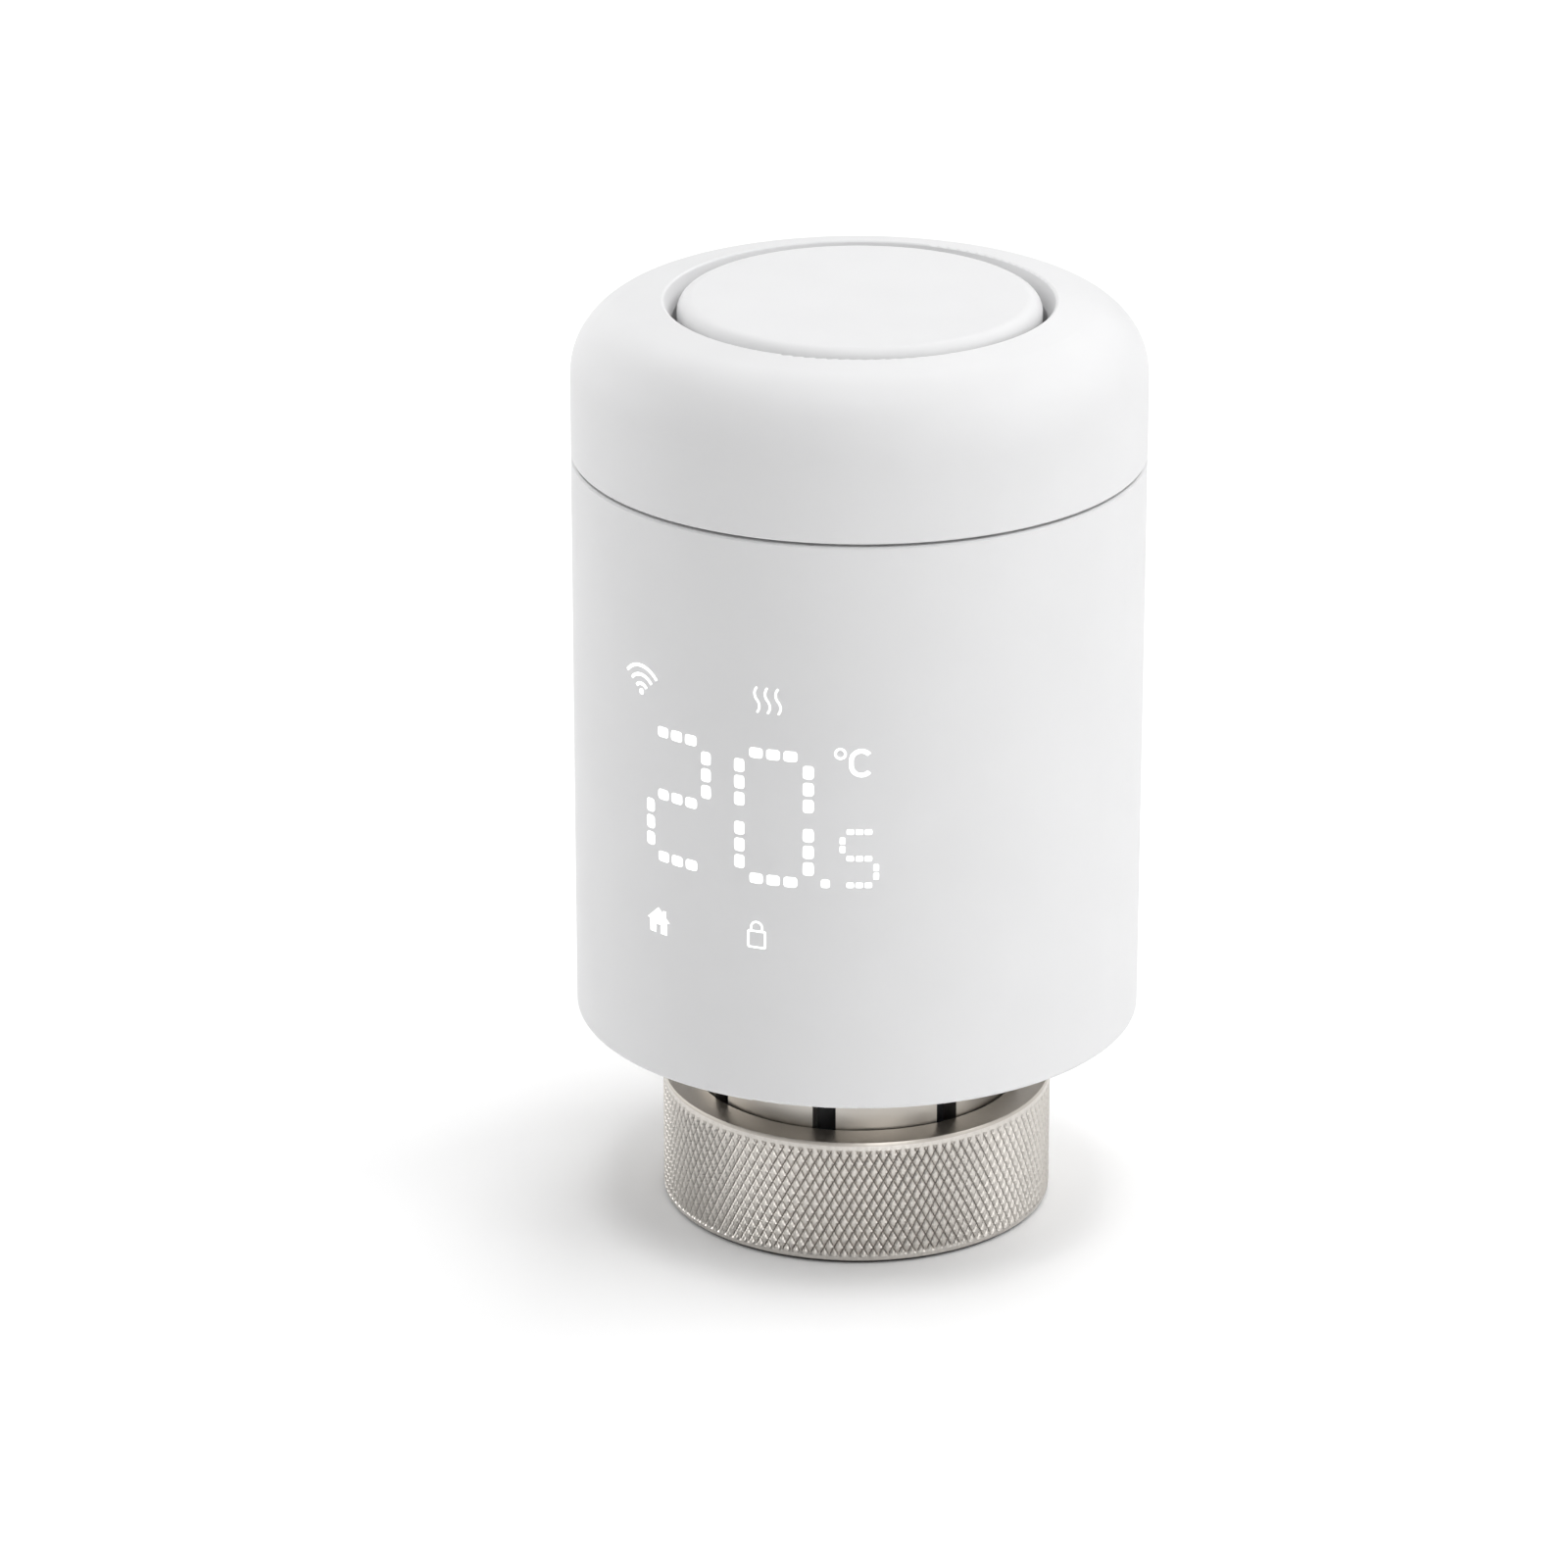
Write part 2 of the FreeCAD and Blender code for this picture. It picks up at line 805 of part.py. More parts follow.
def gearbox_cover():
    """The plate that closes the gearbox and holds the upper ends of the axles."""
    top = cover_top
    plate = gearbox_outline(gearbox_top, top)
    for x, y in gearbox_screw_places():
        plate = plate.cut(disc(screw_radius, gearbox_top - cut_past, top + cut_past, x, y))
    for x, y in (first_place(), second_place()):
        plate = plate.cut(disc(axle_radius, gearbox_top - cut_past, top - axle_cap, x, y))
    x, y = motor_place()
    return plate.cut(disc(axle_radius + wide_gap, gearbox_top - cut_past, top + cut_past, x, y))


def gearbox_screws():
    """Four screws through the gearbox cover."""
    length = gearbox_screw_length
    return Part.makeCompound([screw(x, y, cover_top, length) for x, y in gearbox_screw_places()])


def gear_bridge():
    """The plate inside the gearbox that takes the drive gear's thrust."""
    low, high = bridge_bottom, bridge_top
    plate = gearbox_outline(low, high, gearbox_wall + part_gap)
    ends = [x for x, y in bridge_screw_places()]
    left, right = min(ends) - 3, max(ends) + screw_head_radius
    plate = plate.common(block(left, right, -body_radius, body_radius, low, high))
    x, y = motor_place()
    plate = plate.cut(disc(motor_radius + wide_gap, low - cut_past, high + cut_past, x, y))
    x, y = second_place()
    pinion_tip = (pinion_teeth / 2 + addendum_share) * gear_module
    plate = plate.cut(disc(pinion_tip + wide_gap, low - cut_past, high + cut_past, x, y))
    plate = plate.cut(disc(spindle_stub_radius + running_gap, low - cut_past, high + cut_past))
    x, y = first_place()
    plate = plate.cut(disc(axle_radius, low - cut_past, high + cut_past, x, y))
    for x, y in gearbox_screw_places():
        plate = plate.cut(disc(screw_head_radius + part_gap, low - cut_past, high + cut_past, x, y))
    for x, y in bridge_screw_places():
        plate = plate.cut(disc(screw_radius, low - cut_past, high + cut_past, x, y))
    return plate


def bridge_screws():
    """Three screws that hold the gear bridge on its pillars."""
    length = bridge_screw_length
    return Part.makeCompound([screw(x, y, bridge_top, length) for x, y in bridge_screw_places()])


def gear_axles():
    """Two steel pins that the first and second gears run on."""
    top = cover_top - axle_cap
    first = disc(axle_radius, bridge_bottom, top, *first_place())
    second = disc(axle_radius, drive_level - axle_socket, top, *second_place())
    return Part.makeCompound([first, second])


def thrust_washer():
    """The washer between the drive gear and the bridge."""
    low = drive_level + drive_face + running_gap
    return tube(washer_radius, spindle_stub_radius + running_gap, low, bridge_bottom)


def motor_can():
    """The flat-sided motor with its bearing boss."""
    x, y = motor_place()
    can = disc(motor_radius, motor_bottom, motor_top, x, y)
    flat = motor_half_flat
    can = can.common(
        block(x - motor_radius, x + motor_radius, y - flat, y + flat, motor_bottom, motor_top)
    )
    boss = disc(motor_boss_radius, motor_top, motor_top + motor_boss, x, y)
    bore_bottom = motor_top - shaft_depth - part_gap
    bore = disc(axle_radius + running_gap, bore_bottom, motor_top + motor_boss + cut_past, x, y)
    return can.fuse(boss).removeSplitter().cut(bore)


def frame_screws():
    """Three screws that hold the battery tray on the shell's bosses."""
    length = frame_screw_length
    return Part.makeCompound([screw(x, y, ear_top, length) for x, y in boss_places()])


# ---- Gear train ----


def gear_phases():
    """The phase of each gear, so that all teeth mesh at rest."""
    drive = 0.0
    second_direction = math.radians(drive_to_second_angle)
    second_pinion = meshed_phase(pinion_teeth, drive, drive_teeth, second_direction)
    second_wheel = second_pinion
    first_direction = math.radians(second_to_first_angle)
    first_pinion = meshed_phase(pinion_teeth, second_wheel, wheel_teeth, first_direction)
    first_wheel = first_pinion
    motor_direction = math.radians(first_to_motor_angle)
    motor = meshed_phase(pinion_teeth, first_wheel, wheel_teeth, motor_direction)
    return drive, second_pinion, first_pinion, motor


def motor_pinion():
    """The brass pinion on the motor's shaft."""
    x, y = motor_place()
    low = first_wheel_level - part_gap
    high = first_wheel_level + first_wheel_face + part_gap
    pinion = gear(pinion_teeth, x, y, low, high, gear_phases()[3])
    shaft = disc(axle_radius, motor_top - shaft_depth, gearbox_top + shaft_end, x, y)
    return pinion.fuse(shaft).removeSplitter()


def first_gear():
    """The gear that the motor turns: a wheel above its pinion."""
    x, y = first_place()
    phase = gear_phases()[2]
    pinion = gear(pinion_teeth, x, y, second_wheel_level - close_gap, first_wheel_level, phase)
    top = first_wheel_level + first_wheel_face
    wheel = gear(wheel_teeth, x, y, first_wheel_level, top, phase)
    hub = disc(hub_radius, top, gearbox_top - part_gap, x, y)
    bore = disc(axle_radius + running_gap, bridge_bottom, gearbox_top + cut_past, x, y)
    return joined([pinion, wheel, hub]).cut(bore)


def second_gear():
    """The gear between the first gear and the drive gear."""
    x, y = second_place()
    phase = gear_phases()[1]
    pinion = gear(pinion_teeth, x, y, drive_level, second_wheel_level, phase)
    top = second_wheel_level + second_wheel_face
    wheel = gear(wheel_teeth, x, y, second_wheel_level, top, phase)
    hub = disc(hub_radius, top, gearbox_top - part_gap, x, y)
    bore = disc(axle_radius + running_gap, drive_level - cut_past, gearbox_top + cut_past, x, y)
    return joined([pinion, wheel, hub]).cut(bore)


def drive_gear():
    """The large gear and its screw spindle, which pushes the plunger down."""
    top = drive_level + drive_face
    wheel = gear(drive_teeth, 0, 0, drive_level, top, gear_phases()[0])
    spindle = disc(spindle_radius, spindle_tip, drive_level)
    stub = disc(spindle_stub_radius, top, bridge_top)
    return joined([wheel, spindle, stub])


def plunger():
    """The cup that runs on the spindle and pushes the valve's pin."""
    cup = disc(plunger_radius, plunger_bottom, plunger_top)
    reach = plunger_radius + plunger_key_reach
    half = plunger_key_width / 2
    key_top = plunger_bottom + plunger_key_height
    keys = block(-reach, reach, -half, half, plunger_bottom, key_top)
    bore = disc(spindle_radius + running_gap, plunger_bottom + plunger_floor, plunger_top + cut_past)
    return cup.fuse(keys).removeSplitter().cut(bore)


# ---- Batteries ----


def battery_tray():
    """Two tubes for the cells, with a front wall for the board, a floor and three ears."""
    floor_high = flange_top + tray_floor
    rear = block(-body_radius, body_radius, tray_front, body_radius, flange_top, floor_high)
    pieces = [disc(shell_inner - wide_gap, flange_top, floor_high).common(rear)]
    for x, y in cell_places():
        pieces.append(disc(tray_bore + tray_wall, flange_top, tray_top, x, y))
    wall_back = tray_front + tray_wall
    half = main_board_half_width + tray_wall_margin
    pieces.append(block(-half, half, tray_front, wall_back, flange_top, main_board_top - tray_back_drop))
    for x, y in boss_places():
        pieces.append(disc(boss_radius + part_gap, boss_top, ear_top, x, y))
        if x:
            low, high = sorted((math.copysign(cell_x + cell_radius - tray_wall, x), x))
            half = tray_ear_half_width
            pieces.append(block(low, high, y - half, y + half, boss_top, ear_top))
        else:
            start = cell_y + rear_ear_start
            pieces.append(block(-boss_radius, boss_radius, start, y, boss_top, ear_top))
    x, y = collar_screw_places()[0]
    screw_end = floor_top + collar_screw_length
    pieces.append(disc(screw_head_radius, flange_top, screw_end + 2 * part_gap, x, y))
    tray = joined(pieces)
    for x, y in cell_places():
        tray = tray.cut(disc(tray_bore, floor_high, cell_top, x, y))
    for x, y in boss_places():
        tray = tray.cut(disc(boss_radius + part_gap, flange_top - cut_past, floor_high + cut_past, x, y))
        half = boss_rib / 2 + part_gap
        slot = block(boss_reach, body_radius, -half, half, flange_top - cut_past, floor_high + cut_past)
        slot.rotate(Vector(0, 0, 0), Vector(0, 0, 1), math.degrees(math.atan2(y, x)))
        tray = tray.cut(slot)
        tray = tray.cut(disc(screw_radius, boss_top - cut_past, boss_top + 2 * cut_past, x, y))
    x, y = collar_screw_places()[0]
    tray = tray.cut(disc(screw_radius, flange_top - cut_past, screw_end, x, y))
    tray = tray.cut(disc(guide_outer + part_gap, flange_top - cut_past, guide_top + part_gap))
    tray = tray.cut(disc(guide_bore + part_gap, flange_top - cut_past, drive_level))
    return tray.cut(disc(drive_clearance, drive_level - part_gap, cover_top + cut_past))


def cell(x, y, nub_up):
    """One AA cell, standing either way up."""
    if nub_up:
        can = disc(cell_radius, cell_bottom, cell_top - cell_nub, x, y)
        nub = disc(cell_nub_radius, cell_top - cell_nub, cell_top, x, y)
    else:
        can = disc(cell_radius, cell_bottom + cell_nub, cell_top, x, y)
        nub = disc(cell_nub_radius, cell_bottom, cell_bottom + cell_nub, x, y)
    ends = [edge for edge in can.Edges if abs(edge.Length - 2 * math.pi * cell_radius) < 0.01]
    return can.makeFillet(cell_edge, ends).fuse(nub).removeSplitter()


def left_battery():
    """The cell whose positive end is up."""
    return cell(-cell_x, cell_y, True)


def right_battery():
    """The cell whose positive end is down."""
    return cell(cell_x, cell_y, False)


def coil(radius, wire, bottom, top, turns):
    """A coil spring round the axis between two heights."""
    height = top - bottom - wire
    helix = Part.makeHelix(height / turns, height, radius)
    helix.translate(Vector(0, 0, bottom + wire / 2))
    start = Vector(radius, 0, bottom + wire / 2)
    profile = Part.Wire(Part.makeCircle(wire / 2, start, Vector(0, 1, 0)))
    return Part.Wire(helix).makePipeShell([profile], True, True)


def battery_spring():
    """The bowed spring strip under the left cell's negative end."""
    foot = cell_spring_length / 2
    inner_foot = foot - contact_sheet
    front = cell_y - cell_spring_width / 2

    def spot(reach, height):
        return Vector(-cell_x + reach, front, height)

    bow = Part.Arc(spot(-foot, contact_top), spot(0, cell_bottom), spot(foot, contact_top))
    crown = spot(0, cell_bottom - contact_sheet)
    under = Part.Arc(spot(inner_foot, contact_top), crown, spot(-inner_foot, contact_top))
    feet = [
        Part.makeLine(spot(foot, contact_top), spot(inner_foot, contact_top)),
        Part.makeLine(spot(-inner_foot, contact_top), spot(-foot, contact_top)),
    ]
    outline = Part.Wire([bow.toShape(), feet[0], under.toShape(), feet[1]])
    return Part.Face(outline).extrude(Vector(0, cell_spring_width, 0))


def battery_contacts():
    """The sheet contacts on the tray's floor. The right one has a raised dome."""
    low = flange_top + tray_floor
    high = contact_top
    left, right = cell_places()
    plate = disc(contact_radius, low, high, *left)
    domed = disc(contact_radius, low, high, *right)
    dome = cone(contact_dome_foot, contact_dome_top, high, cell_bottom, *right)
    return Part.makeCompound([plate, domed.fuse(dome).removeSplitter()])


# ---- Boards ----


def main_board():
    """The upright board in front of the batteries."""
    back = main_board_front + board_thickness
    half = main_board_half_width
    board = block(-half, half, main_board_front, back, main_board_bottom, main_board_top)
    return board


def board_parts():
    """The radio module, processor, memory, plugs and capacitors on the main board."""
    face = main_board_front
    low, high = main_board_bottom, main_board_top
    plug_low = flex_height - flex_tail - flex_plug_drop
    processor_low = high - processor_drop - processor_side
    half_edge_plug = edge_plug_width / 2
    pieces = [
        block(
            radio_left,
            radio_left + radio_width,
            face - radio_depth,
            face,
            low + radio_lift,
            low + radio_lift + radio_height,
        ),
        block(
            processor_left,
            processor_left + processor_side,
            face - processor_depth,
            face,
            processor_low,
            processor_low + processor_side,
        ),
        block(
            memory_left,
            memory_left + memory_width,
            face - memory_depth,
            face,
            low + memory_lift,
            low + memory_lift + memory_height,
        ),
        block(
            flex_plug_left,
            flex_plug_left + flex_plug_width,
            face - flex_plug_depth,
            face,
            plug_low,
            plug_low + flex_plug_height,
        ),
        block(
            -half_edge_plug,
            half_edge_plug,
            face - edge_plug_depth,
            face,
            high - edge_plug_height,
            high,
        ),
    ]
    for lift in capacitor_lifts:
        foot = Vector(capacitor_x, face, low + lift)
        pieces.append(Part.makeCylinder(capacitor_radius, capacitor_length, foot, Vector(0, -1, 0)))
    return Part.makeCompound(pieces)


def display_board():
    """The board that carries the display's lamps."""
    half = display_board_half_width
    low, high = display_board_bottom, display_board_top
    return block(-half, half, display_board_front, display_board_back, low, high)


def display_driver():
    """The lamp driver, plug and temperature sensor on the back of the display board."""
    back = display_board_back
    plug_top = flex_height - display_plug_drop
    half_plug = display_plug_width / 2
    driver_top = plug_top - driver_drop
    sensor_top = plug_top - sensor_drop
    driver = block(
        driver_left,
        driver_left + driver_side,
        back,
        back + driver_depth,
        driver_top - driver_side,
        driver_top,
    )
    plug = block(
        -half_plug, half_plug, back, back + display_plug_depth, plug_top - display_plug_height, plug_top
    )
    sensor = block(
        sensor_left,
        sensor_left + sensor_width,
        back,
        back + sensor_depth,
        sensor_top - sensor_height,
        sensor_top,
    )
    return Part.makeCompound([driver, plug, sensor])


def display_flex():
    """The flat ribbon between the display board and the main board."""
    front = display_board_back + flex_front_gap
    back = main_board_front - flex_back_gap
    low = flex_height - flex_tail
    bend = flex_bend
    thick = flex_thickness
    inner = bend - thick
    half_root = math.sqrt(0.5)

    def arc(y, z, radius, start_sign, side):
        middle = Vector(0, y + side * radius * half_root, z + radius * half_root)
        ends = [Vector(0, y + side * radius, z), Vector(0, y, z + radius)]
        if start_sign < 0:
            ends.reverse()
        return Part.Arc(ends[0], middle, ends[1]).toShape()

    z = flex_height - bend
    near, far = front + bend, back - bend
    edges = [
        Part.makeLine(Vector(0, front, low), Vector(0, front, z)),
        arc(near, z, bend, 1, -1),
        Part.makeLine(Vector(0, near, z + bend), Vector(0, far, z + bend)),
        arc(far, z, bend, -1, 1),
        Part.makeLine(Vector(0, back, z), Vector(0, back, low)),
        Part.makeLine(Vector(0, back, low), Vector(0, back - thick, low)),
        Part.makeLine(Vector(0, back - thick, low), Vector(0, back - thick, z)),
        arc(far, z, inner, 1, 1),
        Part.makeLine(Vector(0, far, z + inner), Vector(0, near, z + inner)),
        arc(near, z, inner, -1, -1),
        Part.makeLine(Vector(0, front + thick, z), Vector(0, front + thick, low)),
        Part.makeLine(Vector(0, front + thick, low), Vector(0, front, low)),
    ]
    ribbon = Part.Face(Part.Wire(edges)).extrude(Vector(flex_width, 0, 0))
    ribbon.translate(Vector(flex_left, 0, 0))
    return ribbon


# ---- Display symbols. A symbol is flat outlines about its own centre: across, then up. ----


def flat_face(points):
    """A flat face from corner points."""
    corners = [Vector(x, 0, z) for x, z in points]
    return Part.Face(Part.makePolygon(corners + corners[:1]))


def rounded_bar(x, z, length, width, radius, upright):
    """A rounded rectangle, lying or upright."""
    half_x, half_z = (width / 2, length / 2) if upright else (length / 2, width / 2)
    edges = []
    here = None
    corners = [(1, 1), (-1, 1), (-1, -1), (1, -1)]
    for number, (side_x, side_z) in enumerate(corners):
        centre_x = x + side_x * (half_x - radius)
        centre_z = z + side_z * (half_z - radius)
        begin = math.radians(90 * number)
        spots = [begin, begin + math.pi / 4, begin + math.pi / 2]
        arc = [
            Vector(centre_x + radius * math.cos(a), 0, centre_z + radius * math.sin(a))
            for a in spots
        ]
        if here:
            edges.append(Part.makeLine(here, arc[0]))
        edges.append(Part.Arc(*arc).toShape())
        here = arc[2]
    edges.append(Part.makeLine(here, edges[0].firstVertex().Point))
    return Part.Face(Part.Wire(edges))


def ring_piece(x, z, radius, stroke, start, end):
    """A stroke along a circle between two angles in degrees."""

    def spot(reach, degrees):
        angle = math.radians(degrees)
        return Vector(x + reach * math.cos(angle), 0, z + reach * math.sin(angle))

    outer, inner = radius + stroke / 2, radius - stroke / 2
    middle = (start + end) / 2
    edges = [
        Part.Arc(spot(outer, start), spot(outer, middle), spot(outer, end)).toShape(),
        Part.makeLine(spot(outer, end), spot(inner, end)),
        Part.Arc(spot(inner, end), spot(inner, middle), spot(inner, start)).toShape(),
        Part.makeLine(spot(inner, start), spot(outer, start)),
    ]
    return Part.Face(Part.Wire(edges))


# Which of the seven strokes each figure lights: top, middle and bottom rows, then upper and
# lower columns on the left and on the right.
figure_strokes = {
    "0": ("top", "bottom", "upper_left", "lower_left", "upper_right", "lower_right"),
    "2": ("top", "middle", "bottom", "upper_right", "lower_left"),
    "5": ("top", "middle", "bottom", "upper_left", "lower_right"),
}


def figure(number, half_width, half_height, pitch, length, width, row_count, column_count):
    """The lit pixels of one figure."""
    rows = {"top": half_height, "middle": 0.0, "bottom": -half_height}
    columns = {"left": -half_width, "right": half_width}
    levels = {"upper": half_height / 2, "lower": -half_height / 2}
    corner = width * pixel_corner
    faces = []
    for stroke in figure_strokes[number]:
        if stroke in rows:
            for count in range(row_count):
                x = (count - (row_count - 1) / 2) * pitch
                faces.append(rounded_bar(x, rows[stroke], length, width, corner, False))
        else:
            level, side = stroke.split("_")
            for count in range(column_count):
                z = levels[level] + (count - (column_count - 1) / 2) * pitch
                faces.append(rounded_bar(columns[side], z, length, width, corner, True))
    return faces


def big_figure(number):
    """A large figure, three pixels to each stroke."""
    return figure(
        number,
        big_digit_half_width,
        big_digit_half_height,
        big_pixel_pitch,
        big_pixel_length,
        big_pixel_width,
        3,
        3,
    )


def small_figure(number):
    """The small figure after the point."""
    return figure(
        number,
        small_digit_half_width,
        small_digit_half_height,
        small_pixel_pitch,
        small_pixel_length,
        small_pixel_width,
        3,
        2,
    )


def celsius_mark():
    """The letter for degrees Celsius: an open ring, taller than wide."""
    radius, half, stroke = celsius_radius, celsius_half_bar, celsius_stroke
    bar = flat_face(
        [
            (-radius - stroke / 2, -half),
            (stroke / 2 - radius, -half),
            (stroke / 2 - radius, half),
            (-radius - stroke / 2, half),
        ]
    )
    upper = ring_piece(0, half, radius, stroke, celsius_mouth, 180)
    lower = ring_piece(0, -half, radius, stroke, 180, 360 - celsius_mouth)
    return [bar.fuse([upper, lower]).removeSplitter()]


def wireless_mark():
    """A dot under three arcs."""
    dot = wireless_dot
    faces = [rounded_bar(0, 0, dot, dot, dot * dot_corner, False)]
    for step in (1, 2, 3):
        radius = step * wireless_step
        start, stop = 90 - wireless_spread, 90 + wireless_spread
        faces.append(ring_piece(0, -wireless_drop, radius, wireless_stroke, start, stop))
    return faces


def heat_mark():
    """Three rising waves."""
    radius, sweep = heat_bend, heat_sweep
    faces = []
    for count in (-1, 0, 1):
        x = count * heat_spacing
        swing = radius * math.cos(math.radians(sweep))
        rise = radius * math.sin(math.radians(sweep))
        lower = ring_piece(x - swing, -rise, radius, heat_stroke, -sweep, sweep)
        upper = ring_piece(x + swing, rise, radius, heat_stroke, 180 - sweep, 180 + sweep)
        faces.append(lower.fuse(upper).removeSplitter())
    return faces


def house_mark():
    """A house with a door and a chimney."""
    half, eaves, ridge = house_half_width, house_eaves, house_ridge
    walls = half - roof_overhang
    door, lintel = door_half_width, door_height

    def roof(x):
        return ridge - (ridge - eaves) * x / half

    left = [(0, ridge), (-half, eaves), (-walls, eaves), (-walls, 0), (-door, 0), (-door, lintel)]
    right = [(door, lintel), (door, 0), (walls, 0), (walls, eaves), (half, eaves)]
    chimney = [
        (chimney_far, roof(chimney_far)),
        (chimney_far, chimney_top),
        (chimney_near, chimney_top),
        (chimney_near, roof(chimney_near)),
    ]
    return [flat_face(left + right + chimney)]


def lock_mark():
    """An open outline of a padlock."""
    half, height, stroke = lock_half_width, lock_height, lock_stroke
    inner_half, inner_height = half - stroke, height - 2 * stroke
    corner = lock_corner
    outer = rounded_bar(0, height / 2, 2 * half, height, corner, False)
    inner = rounded_bar(0, height / 2, 2 * inner_half, inner_height, corner / 2, False)
    reach = half * shackle_share
    spring_line = height + shackle_lift
    shackle = ring_piece(0, spring_line, reach, stroke, 0, 180)
    legs = []
    for side in (-reach, reach):
        near, far = side - stroke / 2, side + stroke / 2
        low = height - stroke / 2
        legs.append(flat_face([(near, low), (far, low), (far, spring_line), (near, spring_line)]))
    return [outer.cut(inner).fuse([shackle] + legs).removeSplitter()]


def digit_symbols():
    """The temperature's figures and point: each with its arc length and its height."""
    point = rounded_bar(0, 0, point_size, point_size, point_size * pixel_corner, False)
    point_rise = small_pixel_width / 6 - big_digit_half_height
    return [
        (tens_arc, 0.0, big_figure("2")),
        (units_arc, 0.0, big_figure("0")),
        (point_arc, point_rise, [point]),
        (tenths_arc, small_digit_rise, small_figure("5")),
    ]


def icon_symbols():
    """The degree mark and the small icons."""
    middle, stroke = degree_radius - degree_stroke / 2, degree_stroke
    degree = ring_piece(0, 0, middle, stroke, 0, 180)
    degree = degree.fuse(ring_piece(0, 0, middle, stroke, 180, 360))
    return [
        (degree_arc, degree_rise, [degree.removeSplitter()]),
        (celsius_arc, celsius_rise, celsius_mark()),
        (wireless_arc, wireless_rise, wireless_mark()),
        (heat_arc, heat_rise, heat_mark()),
        (house_arc, house_rise, house_mark()),
        (lock_arc, lock_rise, lock_mark()),
    ]


def prisms(symbols, near, far):
    """The symbols' outlines, pushed out along the shell's radius between two reaches."""
    solids = []
    for arc, rise, faces in symbols:
        turn = math.degrees(arc / body_radius)
        for face in faces:
            prism = face.copy()
            prism.translate(Vector(0, -near, display_height + rise))
            prism = prism.extrude(Vector(0, near - far, 0))
            prism.rotate(Vector(0, 0, 0), Vector(0, 0, 1), turn)
            solids.append(prism)
    return solids


def glowing_film(symbols):
    """The symbols as a thin film on the shell's outside."""
    band = tube(body_radius + film_thickness, body_radius, window_bottom, window_top)
    solids = []
    for prism in prisms(symbols, body_radius - cut_past, body_radius + cut_past):
        solids.extend(prism.common(band).Solids)
    return Part.makeCompound(solids)


def display_digits():
    """The lit figures."""
    return glowing_film(digit_symbols())


def display_icons():
    """The lit unit mark and icons."""
    return glowing_film(icon_symbols())


def lamp_cells():
    """A straight shaft behind each figure pixel and one behind each icon."""
    margin = cavity_margin
    near, far = -display_board_front - 3, body_radius
    shafts = []
    digits = [(arc, rise, face) for arc, rise, faces in digit_symbols() for face in faces]
    icons = [(arc, rise, Part.makeCompound(faces)) for arc, rise, faces in icon_symbols()]
    for arc, rise, face in digits + icons:
        height = display_height + rise
        turn = math.degrees(arc / body_radius)
        box = face.BoundBox
        shaft = block(
            box.XMin - margin,
            box.XMax + margin,
            -far,
            -near,
            height + box.ZMin - margin,
            height + box.ZMax + margin,
        )
        shaft.rotate(Vector(0, 0, 0), Vector(0, 0, 1), turn)
        shafts.append(shaft)
    return shafts


def display_reflector():
    """The white block of light shafts between the lamps and the shell."""
    half = display_board_half_width
    low, high = display_board_bottom, display_board_top
    front = display_board_front
    solid = disc(reflector_radius, low, high).common(
        block(-half, half, -body_radius, front, low, high)
    )
    return solid.cut(Part.makeCompound(lamp_cells()))


def display_leds():
    """The lamps, one in each light shaft."""
    front = display_board_front
    wide = display_board_half_width
    layer = block(-wide, wide, front - led_height, front, display_board_bottom, display_board_top)
    lamps = []
    for shaft in lamp_cells():
        box = shaft.common(layer).BoundBox
        inset = led_inset
        lamps.append(
            block(
                box.XMin + inset + close_gap,
                box.XMax - inset - close_gap,
                front - led_height,
                front,
                box.ZMin + inset,
                box.ZMax - inset,
            )
        )
    return Part.makeCompound(lamps)


# ---- Union nut ----


def union_nut():
    """The metal nut, with its threaded bore, the collar's relief and the snap ring's groove."""
    relief = collar_radius + part_gap
    groove = collar_radius - snap_grip + snap_wire + running_gap
    groove_half = snap_wire / 2 + running_gap
    return turned(
        (thread_major_radius, 0),
        (nut_radius - nut_chamfer, 0),
        (nut_radius, nut_chamfer),
        (nut_radius, nut_height - nut_chamfer),
        (nut_radius - nut_chamfer, nut_height),
        (relief, nut_height),
        (relief, snap_ring_height + groove_half),
        (groove, snap_ring_height + groove_half),
        (groove, snap_ring_height - groove_half),
        (relief, snap_ring_height - groove_half),
        (relief, thread_end),
        (thread_minor_radius, thread_end),
        (thread_minor_radius, thread_start),
    )


def nut_snap_ring():
    """The split wire ring that lets the nut turn on the collar but not slip off."""
    ring_radius = collar_radius - snap_grip + snap_wire / 2
    ring = Part.makeTorus(ring_radius, snap_wire / 2, Vector(0, 0, snap_ring_height))
    half = snap_ring_gap / 2
    low, high = snap_ring_height - snap_wire, snap_ring_height + snap_wire
    gap = block(0, nut_radius, -half, half, low, high)
    return ring.cut(gap)


# ---- Top module ----


